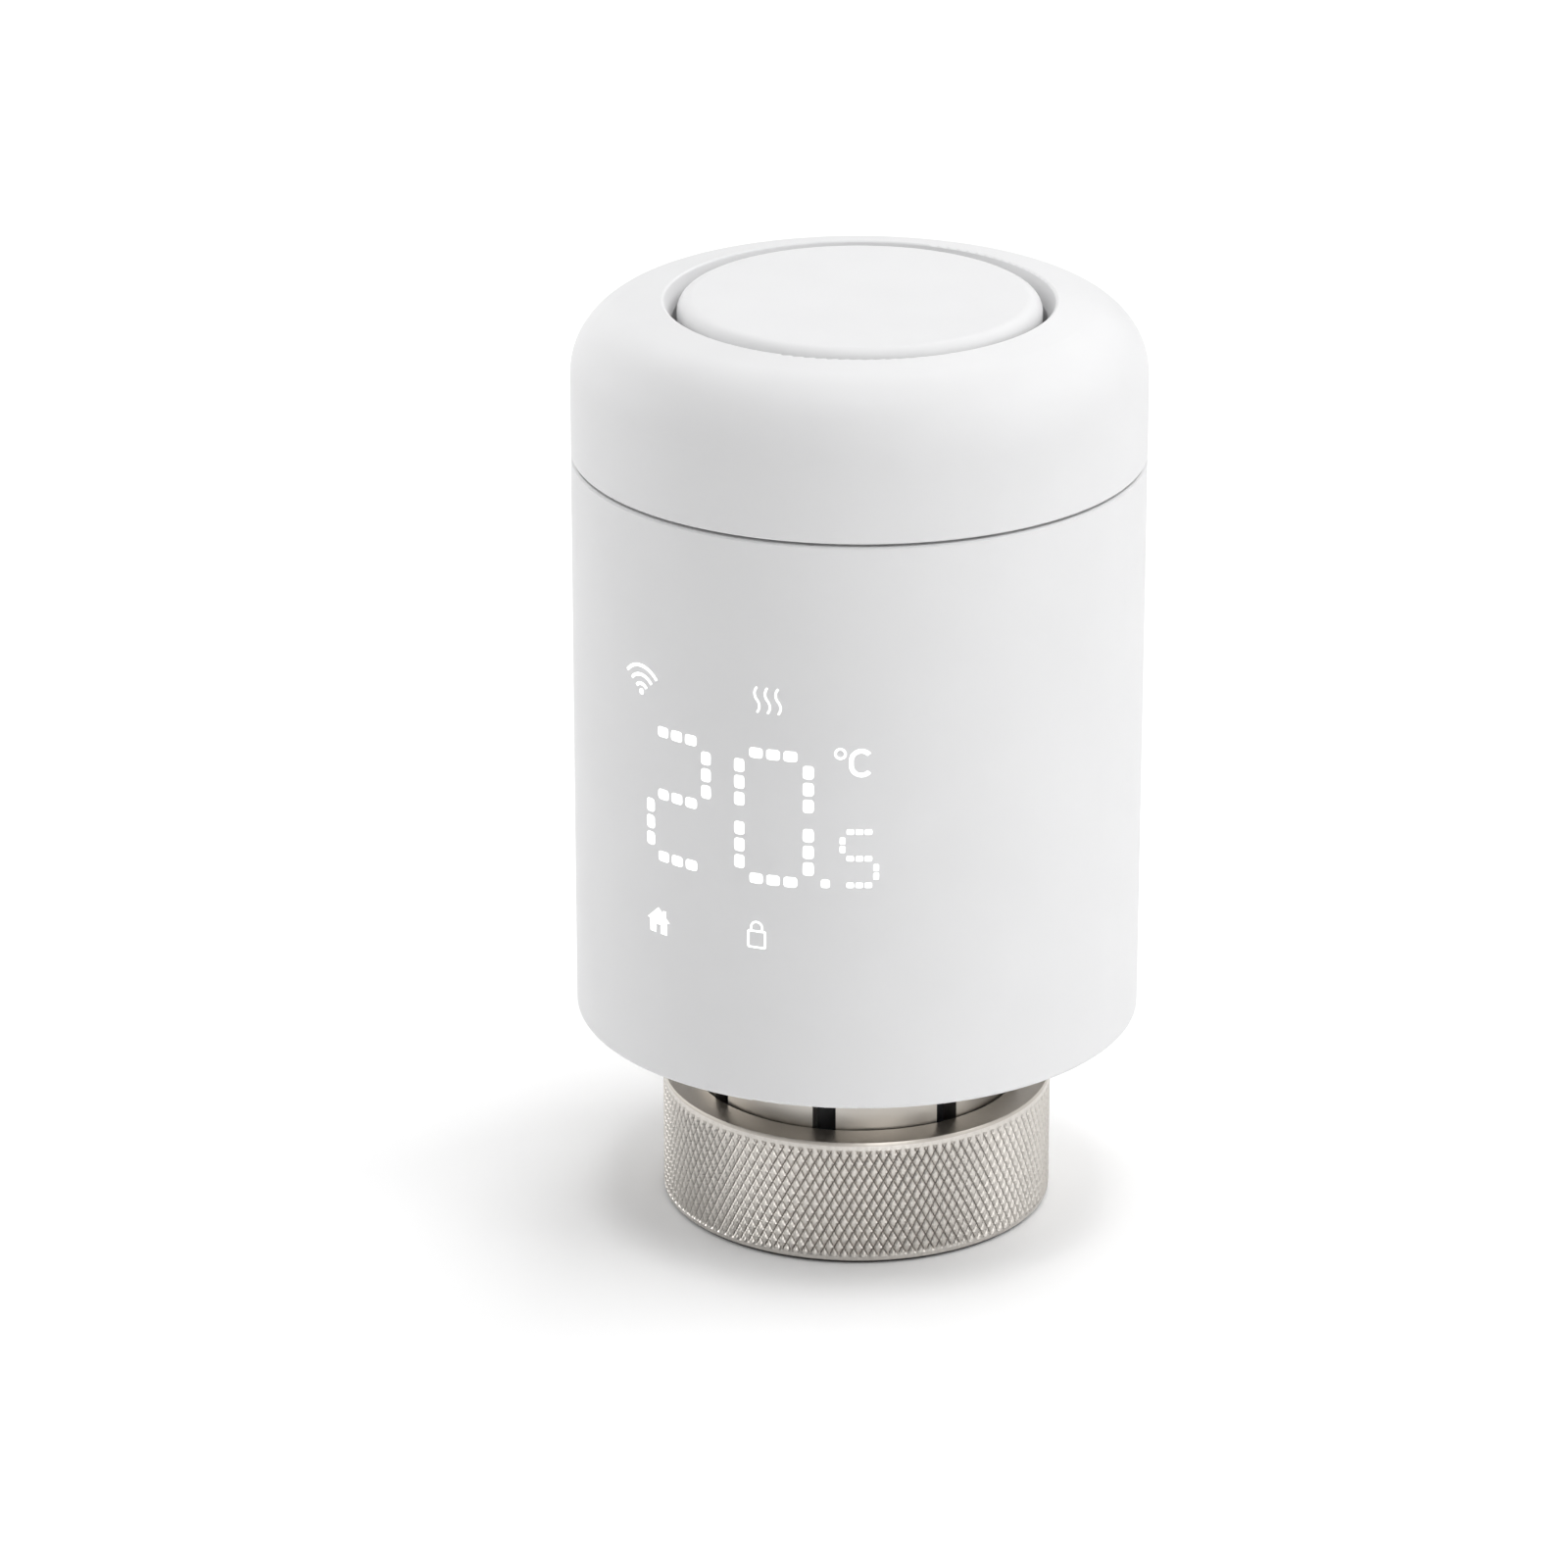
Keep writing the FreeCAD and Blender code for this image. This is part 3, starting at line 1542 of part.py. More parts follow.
def dial_base():
    """The cap's inner plate, with the skirt that plugs into the shell."""
    groove = retainer_inner - running_gap
    groove_low = retainer_height - running_gap
    groove_high = retainer_height + retainer_thickness + running_gap
    base = turned(
        (skirt_radius - skirt_wall, skirt_bottom),
        (skirt_radius, skirt_bottom),
        (skirt_radius, groove_low),
        (groove, groove_low),
        (groove, groove_high),
        (skirt_radius, groove_high),
        (skirt_radius, top_plate_top),
        (0, top_plate_top),
        (0, top_plate_bottom),
        (skirt_radius - skirt_wall, top_plate_bottom),
    )
    for x, y in cell_places():
        base = base.cut(
            disc(cell_radius + part_gap, skirt_bottom - cut_past, top_plate_bottom - skim, x, y)
        )
    low, high = top_plate_bottom - cut_past, top_plate_top + cut_past
    for x in contact_pin_places():
        base = base.cut(disc(contact_pin_radius, low, high, x, contact_pin_y))
    return base


def contact_pin_places():
    """The sprung pins that join the cap's board to the main board."""
    return (-contact_pin_spacing, 0.0, contact_pin_spacing)


def contact_pins():
    """Three sprung pins through the cap's plate."""
    radius, y = contact_pin_radius, contact_pin_y
    pins = [disc(radius, main_board_top, top_plate_top, x, y) for x in contact_pin_places()]
    return Part.makeCompound(pins)


def battery_bridge():
    """The sheet under the cap's plate that joins the two cells."""
    low = top_plate_bottom - contact_sheet
    half = bridge_contact_width / 2
    end = cell_x + half + 1
    sheet = block(-end, end, cell_y - half, cell_y + half, low, top_plate_bottom)
    ends = (bridge_dome_top, bridge_dome_foot)
    domes = [cone(*ends, cell_top, low, x, y) for x, y in cell_places()]
    return joined([sheet] + domes)


def dial_retainer():
    """The split ring that keeps the dial on the cap's skirt."""
    low, high = retainer_height, retainer_height + retainer_thickness
    ring = tube(retainer_outer, retainer_inner, low, high)
    half = retainer_split / 2
    gap = block(-half, half, 0, body_radius, low - cut_past, high + cut_past)
    return ring.cut(gap)


def dial_board():
    """The cap's round board, with a tab that carries the encoder."""
    reach = ring_pitch_radius - gear_module - part_gap
    low, high = top_plate_top, dial_board_top
    board = disc(dial_board_radius, low, high)
    tab = block(0, reach, -dial_board_tab, dial_board_tab, low, high)
    tab.rotate(Vector(0, 0, 0), Vector(0, 0, 1), encoder_angle)
    tab = tab.common(disc(reach, low, high))
    return board.fuse(tab).removeSplitter()


def encoder_body():
    """The turn sensor and its shaft."""
    x, y = polar(encoder_reach, encoder_angle)
    low = dial_board_top
    body = disc(encoder_radius, low, low + encoder_height, x, y)
    shaft = disc(axle_radius, low, encoder_gear_bottom + ring_height, x, y)
    return body.fuse(shaft).removeSplitter()


def encoder_gear():
    """The small gear that the dial's inner teeth turn."""
    x, y = polar(encoder_reach, encoder_angle)
    direction = math.radians(encoder_angle)
    low = encoder_gear_bottom
    high = low + ring_height - part_gap
    phase = direction * (1 - ring_teeth / encoder_teeth)
    wheel = gear(encoder_teeth, x, y, low, high, phase)
    return wheel.cut(disc(axle_radius + running_gap, low - cut_past, high + cut_past, x, y))


def tact_switch():
    """The click switch under the button."""
    half = switch_half
    body = block(-half, half, -half, half, dial_board_top, switch_top)
    return body.cut(disc(switch_pin_radius + slide_gap, switch_top - switch_bore_depth, switch_top + cut_past))


def switch_pin():
    """The switch's moving pin."""
    return disc(switch_pin_radius, switch_top - overlap, switch_top + switch_pin_height)


def button_carrier():
    """The fixed tube that guides the button, with a lip that its bead hooks under."""
    top = carrier_lip_bottom + carrier_lip_height
    inner = carrier_radius - carrier_wall
    tube_solid = turned(
        (inner, top_plate_top),
        (carrier_radius, top_plate_top),
        (carrier_radius, carrier_lip_bottom),
        (carrier_radius + carrier_lip, carrier_lip_bottom),
        (carrier_radius + carrier_lip, top - carrier_lip_bevel),
        (carrier_radius + carrier_lip - carrier_lip_bevel, top),
        (inner, top),
    )
    half = dial_board_tab + part_gap
    reach = carrier_radius + cut_past
    notch = block(0, reach, -half, half, top_plate_top - cut_past, dial_board_top + part_gap)
    notch.rotate(Vector(0, 0, 0), Vector(0, 0, 1), encoder_angle)
    return tube_solid.cut(notch)


def button_spring():
    """The coil that lifts the button."""
    return coil(spring_radius, spring_wire, dial_board_top, button_under, spring_turns)


# ---- Moving outside pieces ----


def dial_ring():
    """The white dial: a straight wall, a round shoulder, a lip, and teeth inside."""
    bevel = seam_bevel
    centre = shoulder_centre_radius
    half_turn = shoulder_angle / 2
    slope = shoulder_slope
    inner_arc = shoulder_radius - dial_wall
    inner_crest = centre + inner_arc * math.cos(shoulder_angle)
    inner_height = shoulder_height + inner_arc * math.sin(shoulder_angle)
    throat_height = lip_top - lip_wall_height
    step_radius = ring_pitch_radius + gear_module + close_gap
    step_low = top_plate_top + close_gap
    groove = retainer_outer + slide_gap
    groove_low = retainer_height - slide_gap
    groove_high = retainer_height + retainer_thickness + slide_gap
    bore = skirt_radius + part_gap
    ring_low = encoder_gear_bottom - close_gap
    inner_floor = lip_top - lip_depth
    pocket = lip_throat + lip_thickness
    pocket_top = inner_height + (inner_crest - pocket) * slope
    tooth_rim = centre + inner_arc
    dial = turned(
        (bore, dial_bottom),
        (body_radius - bevel, dial_bottom),
        (body_radius, dial_bottom + bevel),
        (body_radius, shoulder_height),
        (
            (
                centre + shoulder_radius * math.cos(half_turn),
                shoulder_height + shoulder_radius * math.sin(half_turn),
            ),
            (shoulder_crest, dial_height),
        ),
        (lip_radius + lip_round, lip_top - lip_round * slope),
        (
            (lip_radius + lip_round * 0.25, lip_top - lip_round * 0.12),
            (lip_radius - lip_round * 0.5, lip_top - lip_round * 0.7),
        ),
        (lip_throat, throat_height),
        (lip_throat, inner_floor),
        (pocket, inner_floor),
        (pocket, pocket_top),
        (inner_crest, inner_height),
        (
            (
                centre + inner_arc * math.cos(half_turn),
                shoulder_height + inner_arc * math.sin(half_turn),
            ),
            (tooth_rim, shoulder_height),
        ),
        (step_radius, shoulder_height),
        (step_radius, step_low),
        (bore, step_low),
        (bore, groove_high),
        (groove, groove_high),
        (groove, groove_low),
        (bore, groove_low),
    )
    tip_radius = ring_pitch_radius + dedendum_share * gear_module
    root_radius = ring_pitch_radius - addendum_share * gear_module
    toothed = gear_face(ring_teeth, tip_radius, root_radius, tooth_backlash, 0.0)
    toothed.translate(Vector(0, 0, ring_low - cut_past))
    cutter = toothed.extrude(Vector(0, 0, ring_height + 2))
    rim = disc(step_radius + ring_rim / 2, ring_low, ring_low + ring_height)
    return dial.fuse(rim.cut(cutter)).removeSplitter()


def push_button():
    """The round button: a flat top, a rounded edge and a skirt with a bead inside."""
    outer = button_radius
    inner = button_inner
    edge = button_edge
    under = button_under
    bead_top = carrier_lip_bottom - close_gap
    bead_low = bead_top - button_bead_height
    bead = inner - button_bead
    low = bead_low - button_lead
    post = switch_pin_radius + button_post_margin
    post_low = switch_top + switch_pin_height + running_gap
    corner = edge * (1 - math.sqrt(0.5))
    return turned(
        (0, button_top),
        (outer - edge, button_top),
        ((outer - corner, button_top - corner), (outer, button_top - edge)),
        (outer, low),
        (inner, low),
        (bead, bead_low),
        (bead, bead_top),
        (inner, bead_top),
        (inner, under),
        (post, under),
        (post, post_low),
        (0, post_low),
    )


nodes = [
    outer_shell,
    valve_collar,
    guide_sleeve,
    collar_screws,
    gearbox_base,
    gearbox_cover,
    gearbox_screws,
    gear_bridge,
    bridge_screws,
    gear_axles,
    thrust_washer,
    motor_can,
    frame_screws,
    motor_pinion,
    first_gear,
    second_gear,
    drive_gear,
    plunger,
    battery_tray,
    left_battery,
    right_battery,
    battery_spring,
    battery_contacts,
    main_board,
    board_parts,
    display_board,
    display_driver,
    display_flex,
    display_reflector,
    display_leds,
    display_digits,
    display_icons,
    union_nut,
    nut_snap_ring,
    dial_base,
    contact_pins,
    battery_bridge,
    dial_retainer,
    dial_board,
    encoder_body,
    encoder_gear,
    tact_switch,
    switch_pin,
    button_carrier,
    button_spring,
    dial_ring,
    push_button,
]

os.makedirs("parts", exist_ok=True)
for make_node in nodes:
    save(make_node.__name__, make_node())
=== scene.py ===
import bpy
import math

import numpy as np
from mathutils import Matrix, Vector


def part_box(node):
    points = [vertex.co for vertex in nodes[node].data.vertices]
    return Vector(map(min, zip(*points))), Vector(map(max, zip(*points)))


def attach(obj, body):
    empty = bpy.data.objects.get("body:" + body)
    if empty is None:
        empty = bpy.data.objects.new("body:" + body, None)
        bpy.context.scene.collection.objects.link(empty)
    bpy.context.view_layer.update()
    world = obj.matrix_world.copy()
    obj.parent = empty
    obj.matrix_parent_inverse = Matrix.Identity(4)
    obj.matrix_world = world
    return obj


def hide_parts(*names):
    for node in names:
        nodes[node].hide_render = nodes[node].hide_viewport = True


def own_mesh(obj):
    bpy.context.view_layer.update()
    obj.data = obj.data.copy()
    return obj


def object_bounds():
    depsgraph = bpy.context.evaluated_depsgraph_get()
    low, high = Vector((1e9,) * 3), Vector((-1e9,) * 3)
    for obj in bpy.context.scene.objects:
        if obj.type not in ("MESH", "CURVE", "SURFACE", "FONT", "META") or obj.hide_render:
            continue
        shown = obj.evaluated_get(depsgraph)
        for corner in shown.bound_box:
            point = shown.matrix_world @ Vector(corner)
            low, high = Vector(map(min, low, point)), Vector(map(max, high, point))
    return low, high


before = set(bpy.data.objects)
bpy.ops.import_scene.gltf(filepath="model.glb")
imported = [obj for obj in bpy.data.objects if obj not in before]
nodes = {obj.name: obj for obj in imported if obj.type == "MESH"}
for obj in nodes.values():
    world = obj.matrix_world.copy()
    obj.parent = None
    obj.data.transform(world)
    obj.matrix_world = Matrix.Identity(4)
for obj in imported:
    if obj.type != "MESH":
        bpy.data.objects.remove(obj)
cad_low, cad_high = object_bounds()

# Everything is in metres. MM turns a size in millimetres into metres.
MM = 0.001

# ---- Camera ----
CAMERA_AZIMUTH = math.radians(23.0)
CAMERA_REACH = 601.2 * MM
CAMERA_HEIGHT = 277.1 * MM
CAMERA_PITCH = 0.3743
CAMERA_YAW = 0.0115
CAMERA_LENS = 158.3
CAMERA_SENSOR = 36.0

# ---- Lights ----
ROOM_LIGHT = 0.22
LIGHT_REACH = 1.1
# Each softbox has a name, an azimuth from the display, an elevation, a side in metres, and watts.
SOFTBOXES = (
    ("top", 23, 85, 0.5, 4.8),
    ("right", 90, 45, 0.5, 2.3),
    ("right_low", 90, 12, 0.5, 1.6),
    ("front_low", 40, 10, 0.6, 3.0),
    ("right_rear", 130, 45, 0.5, 2.7),
    ("rear", 180, 40, 0.6, 3.3),
    ("left_rear", -110, 10, 1.2, 8.0),
    ("left_low", -80, 10, 0.9, 3.8),
)

# ---- Floor ----
FLOOR_HALF = 3.0

# ---- Union nut: outside edges and rim ----
NUT_EDGE = 0.45 * MM
NUT_BAND_SET_BACK = 0.05 * MM
RIM_BREAK = 0.12 * MM

# ---- Union nut: diamond knurl ----
KNURL_STARTS = 125
KNURL_STEPS = 6
KNURL_ANGLE = math.radians(28.4)
KNURL_DEPTH = 0.2 * MM
KNURL_STEEPNESS = 2.2
KNURL_BAND = 0.75 * MM
KNURL_RUN_OUT = 0.15 * MM
KNURL_FADE_ROWS = 1.5

# ---- Union nut: bore, snap ring's groove and thread, with heights above the nut's foot ----
SNAP_BORE = 15.45 * MM
SNAP_GROOVE = 16.0 * MM
SNAP_GROOVE_LOW = 9.75 * MM
SNAP_GROOVE_HIGH = 11.05 * MM
THREAD_PITCH = 1.5 * MM
THREAD_DEPTH = 0.81 * MM
THREAD_START = 0.9 * MM
THREAD_END = 7.9 * MM
THREAD_MINOR = 14.19 * MM
THREAD_MOUTH = 15.05 * MM
THREAD_ROWS = 40
THREAD_CREST = 0.2
THREAD_FLANK = 0.65

# ---- Union nut: where its colour changes, below the outer radius or below the rim; the dark deep in the knurl's grooves and on the foot's chamfer is painted shade ----
GROOVE_SHADE = 0.24 * MM
CREST_SHADE = 0.12 * MM
KNURL_ZONE = 0.55 * MM
RIM_ZONE = 0.4 * MM

# ---- Battery: bare steel at its ends, and where its sleeve changes colour as a share of its length ----
CELL_BARE_FOOT = 0.7 * MM
CELL_BARE_TOP = 1.6 * MM
CELL_BAND_START = 0.7
CELL_BAND_END = 0.705

# ---- Button spring ----
SPRING_WIRE = 0.5 * MM
SPRING_TURNS = 4
SPRING_TURN_STEPS = 48
SPRING_SIDES = 12

# ---- Edges sharper than these many degrees stay sharp ----
NUT_SHARP_EDGE = 24.0
SPRING_SHARP_EDGE = 60.0


# ---- Material building blocks ----


class Surface:
    """A material with a Principled shader, and short calls for the nodes that feed it."""

    def __init__(self, name, color, roughness, metallic=0.0):
        self.material = bpy.data.materials.new(name)
        self.material.use_nodes = True
        self.tree = self.material.node_tree
        self.shader = self.tree.nodes["Principled BSDF"]
        self.shader.inputs["Base Color"].default_value = (*color, 1.0)
        self.shader.inputs["Roughness"].default_value = roughness
        self.shader.inputs["Metallic"].default_value = metallic
        self.material.diffuse_color = (*color, 1.0)
        self.heights = []

    def node(self, kind, **settings):
        """Adds a node and sets its attributes."""
        made = self.tree.nodes.new(kind)
        for name, value in settings.items():
            setattr(made, name, value)
        return made

    def feed(self, socket, value):
        """Links an output to a socket, or sets the socket's constant."""
        if hasattr(value, "is_linked"):
            self.tree.links.new(value, socket)
        else:
            socket.default_value = value

    def place(self):
        """The object's own coordinates in metres."""
        return self.node("ShaderNodeTexCoord").outputs["Object"]

    def split_place(self):
        """The node that gives X, Y and Z apart."""
        split = self.node("ShaderNodeSeparateXYZ")
        self.feed(split.inputs[0], self.place())
        return split

    def radius(self, split):
        """The distance from the axis."""
        across = self.math("MULTIPLY", split.outputs["X"], split.outputs["X"])
        deep = self.math("MULTIPLY", split.outputs["Y"], split.outputs["Y"])
        return self.math("POWER", self.math("ADD", across, deep), 0.5)

    def turned_place(self, around, along):
        """Coordinates that follow a turned surface: the radius and the height, then a little angle."""
        split = self.split_place()
        angle = self.math("ARCTAN2", split.outputs["Y"], split.outputs["X"])
        join = self.node("ShaderNodeCombineXYZ")
        self.feed(join.inputs["X"], self.math("MULTIPLY", self.radius(split), along))
        self.feed(join.inputs["Y"], self.math("MULTIPLY", split.outputs["Z"], along))
        self.feed(join.inputs["Z"], self.math("MULTIPLY", angle, around))
        return join.outputs[0]

    def math(self, operation, first, second, clamp=False):
        """One sum of two numbers."""
        made = self.node("ShaderNodeMath", operation=operation, use_clamp=clamp)
        self.feed(made.inputs[0], first)
        self.feed(made.inputs[1], second)
        return made.outputs[0]

    def noise(self, scale, detail=3.0, rough=0.55, vector=None):
        """Cloudy noise between 0 and 1."""
        made = self.node("ShaderNodeTexNoise")
        self.feed(made.inputs["Vector"], vector or self.place())
        made.inputs["Scale"].default_value = scale
        made.inputs["Detail"].default_value = detail
        made.inputs["Roughness"].default_value = rough
        return made.outputs["Fac"]

    def cells(self, scale):
        """The distance to the nearest of many scattered points."""
        made = self.node("ShaderNodeTexVoronoi")
        self.feed(made.inputs["Vector"], self.place())
        made.inputs["Scale"].default_value = scale
        return made.outputs["Distance"]

    def ramp(self, amount, low, high):
        """Stretches the amounts between low and high over 0 to 1."""
        made = self.node("ShaderNodeMapRange")
        self.feed(made.inputs["Value"], amount)
        made.inputs["From Min"].default_value = low
        made.inputs["From Max"].default_value = high
        return made.outputs["Result"]

    def between(self, amount, low, high):
        """A number that goes from low to high as the amount goes from 0 to 1."""
        made = self.node("ShaderNodeMapRange")
        self.feed(made.inputs["Value"], amount)
        made.inputs["To Min"].default_value = low
        made.inputs["To Max"].default_value = high
        return made.outputs["Result"]

    def mix(self, amount, first, second):
        """A colour between two colours."""
        made = self.node("ShaderNodeMix", data_type="RGBA")
        self.feed(made.inputs["Factor"], amount)
        for socket, color in ((made.inputs[6], first), (made.inputs[7], second)):
            self.feed(socket, color if hasattr(color, "is_linked") else (*color, 1.0))
        return made.outputs[2]

    def color(self, value):
        """Feeds the base colour."""
        self.feed(self.shader.inputs["Base Color"], value)

    def rough(self, amount, low, high):
        """Feeds the roughness."""
        self.feed(self.shader.inputs["Roughness"], self.between(amount, low, high))

    def bump(self, amount, distance, strength):
        """Raises the surface by a distance in metres where the amount is 1."""
        made = self.node("ShaderNodeBump")
        made.inputs["Strength"].default_value = strength
        made.inputs["Distance"].default_value = distance
        self.feed(made.inputs["Height"], amount)
        if self.heights:
            self.feed(made.inputs["Normal"], self.heights[-1])
        self.heights.append(made.outputs["Normal"])
        self.feed(self.shader.inputs["Normal"], made.outputs["Normal"])


# ---- Materials ----


def moulded_white(name, light, shade, gloss_low, gloss_high):
    """White plastic with a fine spark-eroded grain and faint cloudiness."""
    surface = Surface(name, light, gloss_high)
    cloud = surface.noise(scale=90, detail=2.0)
    grain = surface.noise(scale=5200, detail=2.0, rough=0.6)
    pores = surface.cells(scale=3600)
    surface.color(surface.mix(surface.ramp(cloud, low=0.3, high=0.7), shade, light))
    surface.rough(surface.ramp(grain, low=0.3, high=0.7), low=gloss_low, high=gloss_high)
    surface.bump(grain, distance=0.006 * MM, strength=0.7)
    surface.bump(pores, distance=0.004 * MM, strength=0.5)
    surface.shader.inputs["Specular IOR Level"].default_value = 0.35
    return surface.material


def moulded_plastic(name, light, shade, roughness, grain_scale=2600):
    """Coloured plastic with a moulded grain."""
    surface = Surface(name, light, roughness)
    cloud = surface.noise(scale=220, detail=3.0)
    grain = surface.noise(scale=grain_scale, detail=3.0, rough=0.6)
    surface.color(surface.mix(surface.ramp(cloud, low=0.3, high=0.7), shade, light))
    surface.rough(grain, low=roughness - 0.08, high=roughness + 0.08)
    surface.bump(grain, distance=0.01 * MM, strength=0.6)
    return surface.material


def turned_metal(name, light, shade, gloss_low, gloss_high, mark=0.004):
    """Plated metal with fine turning marks that run round the axis."""
    surface = Surface(name, light, gloss_high, 1.0)
    turned = surface.turned_place(around=2.0, along=9000.0)
    marks = surface.noise(scale=1.0, detail=3.0, rough=0.7, vector=turned)
    stain = surface.noise(scale=260, detail=4.0, rough=0.6)
    surface.color(surface.mix(surface.ramp(stain, low=0.25, high=0.75), shade, light))
    surface.rough(marks, low=gloss_low, high=gloss_high)
    surface.bump(marks, distance=mark * MM, strength=0.6)
    return surface.material


def knurled_metal(name, crest, painted_groove_shade, bore):
    """The nut's plating: bright on the knurl, with painted shade down in its grooves and on the foot's
    chamfer, browner in the bore.
    """
    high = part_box("union_nut")[1]
    outer = high[0]
    surface = Surface(name, crest, 0.3, 1.0)
    split = surface.split_place()
    radius = surface.radius(split)
    # Painted shade: the colour darkens to near black as the radius falls into the knurl's grooves and the
    # foot's chamfer.
    height = surface.ramp(radius, outer - GROOVE_SHADE, outer - CREST_SHADE)
    speckle = surface.noise(scale=2400, detail=3.0, rough=0.6)
    turned = surface.turned_place(around=2.0, along=7000.0)
    marks = surface.noise(scale=1.0, detail=3.0, rough=0.7, vector=turned)
    # The painted groove shade, varied at random by the speckle.
    painted_shade_and_speckle = surface.math("MULTIPLY", height, surface.between(speckle, low=0.7, high=1.25), clamp=True)
    knurl = surface.mix(painted_shade_and_speckle, painted_groove_shade, crest)
    outside = surface.math("GREATER_THAN", radius, outer - KNURL_ZONE)
    below_rim = surface.math("LESS_THAN", split.outputs["Z"], high[2] - RIM_ZONE)
    knurled = surface.math("MULTIPLY", outside, below_rim)
    surface.color(surface.mix(knurled, bore, knurl))
    surface.rough(speckle, low=0.22, high=0.46)
    surface.bump(speckle, distance=0.02 * MM, strength=0.8)
    surface.bump(marks, distance=0.003 * MM, strength=0.5)
    return surface.material


def pressed_metal(name, light, shade, roughness, scale=1500):
    """Mottled plating on a pressed or cast part."""
    surface = Surface(name, light, roughness, 1.0)
    mottle = surface.noise(scale=scale, detail=4.0, rough=0.6)
    cloud = surface.noise(scale=scale / 6, detail=2.0)
    surface.color(surface.mix(surface.ramp(cloud, low=0.25, high=0.75), shade, light))
    surface.rough(mottle, low=roughness - 0.1, high=roughness + 0.12)
    surface.bump(mottle, distance=0.02 * MM, strength=0.8)
    return surface.material


def circuit_board(name, mask, copper):
    """Solder mask over tracks that run in short straight steps."""
    surface = Surface(name, mask, 0.35)
    bricks = surface.node("ShaderNodeTexBrick")
    surface.feed(bricks.inputs["Vector"], surface.place())
    bricks.inputs["Scale"].default_value = 320
    bricks.inputs["Mortar Size"].default_value = 0.06
    tracks = bricks.outputs["Fac"]
    fibre = surface.noise(scale=1800, detail=2.0)
    surface.color(surface.mix(tracks, mask, copper))
    surface.rough(fibre, low=0.28, high=0.42)
    surface.bump(tracks, distance=0.03 * MM, strength=0.6)
    return surface.material


def battery_sleeve(name, dark, bright, steel):
    """A shrink sleeve in two colours, with bare steel at the ends."""
    surface = Surface(name, dark, 0.25)
    height = surface.split_place().outputs["Z"]
    low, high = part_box("left_battery")
    length = high[2] - low[2]
    band = surface.ramp(height, low[2] + length * CELL_BAND_START, low[2] + length * CELL_BAND_END)
    foot = surface.math("LESS_THAN", height, low[2] + CELL_BARE_FOOT)
    top = surface.math("GREATER_THAN", height, high[2] - CELL_BARE_TOP)
    ends = surface.math("ADD", foot, top, clamp=True)
    sleeve = surface.mix(band, dark, bright)
    shine = surface.noise(scale=400, detail=3.0)
    surface.color(surface.mix(ends, sleeve, steel))
    surface.feed(surface.shader.inputs["Metallic"], ends)
    surface.rough(shine, low=0.18, high=0.34)
    surface.bump(shine, distance=0.03 * MM, strength=0.3)
    return surface.material


def ribbon_film(name, film, copper):
    """Amber film over straight copper tracks."""
    surface = Surface(name, film, 0.25)
    wave = surface.node("ShaderNodeTexWave", bands_direction="X")
    surface.feed(wave.inputs["Vector"], surface.place())
    wave.inputs["Scale"].default_value = 900
    surface.color(surface.mix(surface.ramp(wave.outputs["Fac"], low=0.4, high=0.6), film, copper))
    surface.rough(surface.noise(scale=900), low=0.2, high=0.35)
    surface.bump(wave.outputs["Fac"], distance=0.01 * MM, strength=0.5)
    return surface.material


def glow(name, color, strength):
    """Lamp light through the shell, a little uneven."""
    surface = Surface(name, color, 0.5)
    cloud = surface.noise(scale=1500, detail=2.0)
    shader = surface.shader
    dimmer = [channel * 0.96 for channel in color]
    soft = surface.mix(surface.ramp(cloud, low=0.2, high=0.8), dimmer, color)
    surface.feed(shader.inputs["Emission Color"], soft)
    shader.inputs["Emission Strength"].default_value = strength
    surface.color(soft)
    surface.bump(cloud, distance=0.002 * MM, strength=0.4)
    return surface.material


def floor_paper(name, light, shade):
    """Pale studio paper."""
    surface = Surface(name, light, 0.9)
    cloud = surface.noise(scale=6, detail=3.0)
    surface.color(surface.mix(cloud, shade, light))
    surface.bump(surface.noise(scale=900, detail=2.0), distance=0.02 * MM, strength=0.3)
    return surface.material


def paint(material, *names):
    """Gives CAD nodes a material."""
    for name in names:
        slots = nodes[name].data.materials
        slots.clear()
        slots.append(material)


def smooth(obj, degrees):
    """Shades an object's mesh smooth, apart from edges sharper than the angle."""
    obj.data.shade_smooth()
    obj.data.set_sharp_from_angle(angle=math.radians(degrees))


# ---- Mesh building blocks ----


def new_object(name, vertices, faces, material):
    """A mesh object from vertices and faces."""
    mesh = bpy.data.meshes.new(name)
    mesh.from_pydata([tuple(point) for point in vertices], [], [tuple(face) for face in faces])
    mesh.update()
    mesh.validate()
    obj = bpy.data.objects.new(name, mesh)
    bpy.context.scene.collection.objects.link(obj)
    mesh.materials.append(material)
    return obj


def rings(radii, heights):
    """Points of a lathe whose radii may change with the angle: one row for each height."""
    radii = np.asarray(radii)
    count = radii.shape[1]
    angles = np.arange(count) * 2 * math.pi / count
    heights = np.broadcast_to(np.asarray(heights)[:, None], radii.shape)
    return np.stack([radii * np.cos(angles), radii * np.sin(angles), heights], axis=-1)


def band_faces(row, next_row, count):
    """Quads between two closed rows of points, each given as vertex numbers."""
    after = np.roll(np.arange(count), -1)
    low, high = np.asarray(row), np.asarray(next_row)
    return np.stack([low, low[after], high[after], high], axis=-1)


def knurl_height(angle_steps, row):
    """How far the knurl rises at a grid point, from 0 in a groove to 1 on a diamond's flat."""
    forward = (angle_steps + row) % KNURL_STEPS
    backward = (angle_steps - row) % KNURL_STEPS
    far = np.minimum(forward, KNURL_STEPS - forward)
    near = np.minimum(backward, KNURL_STEPS - backward)
    slope = np.minimum(far, near) / (KNURL_STEPS / 2)
    return np.minimum(slope * KNURL_STEEPNESS, 1.0)


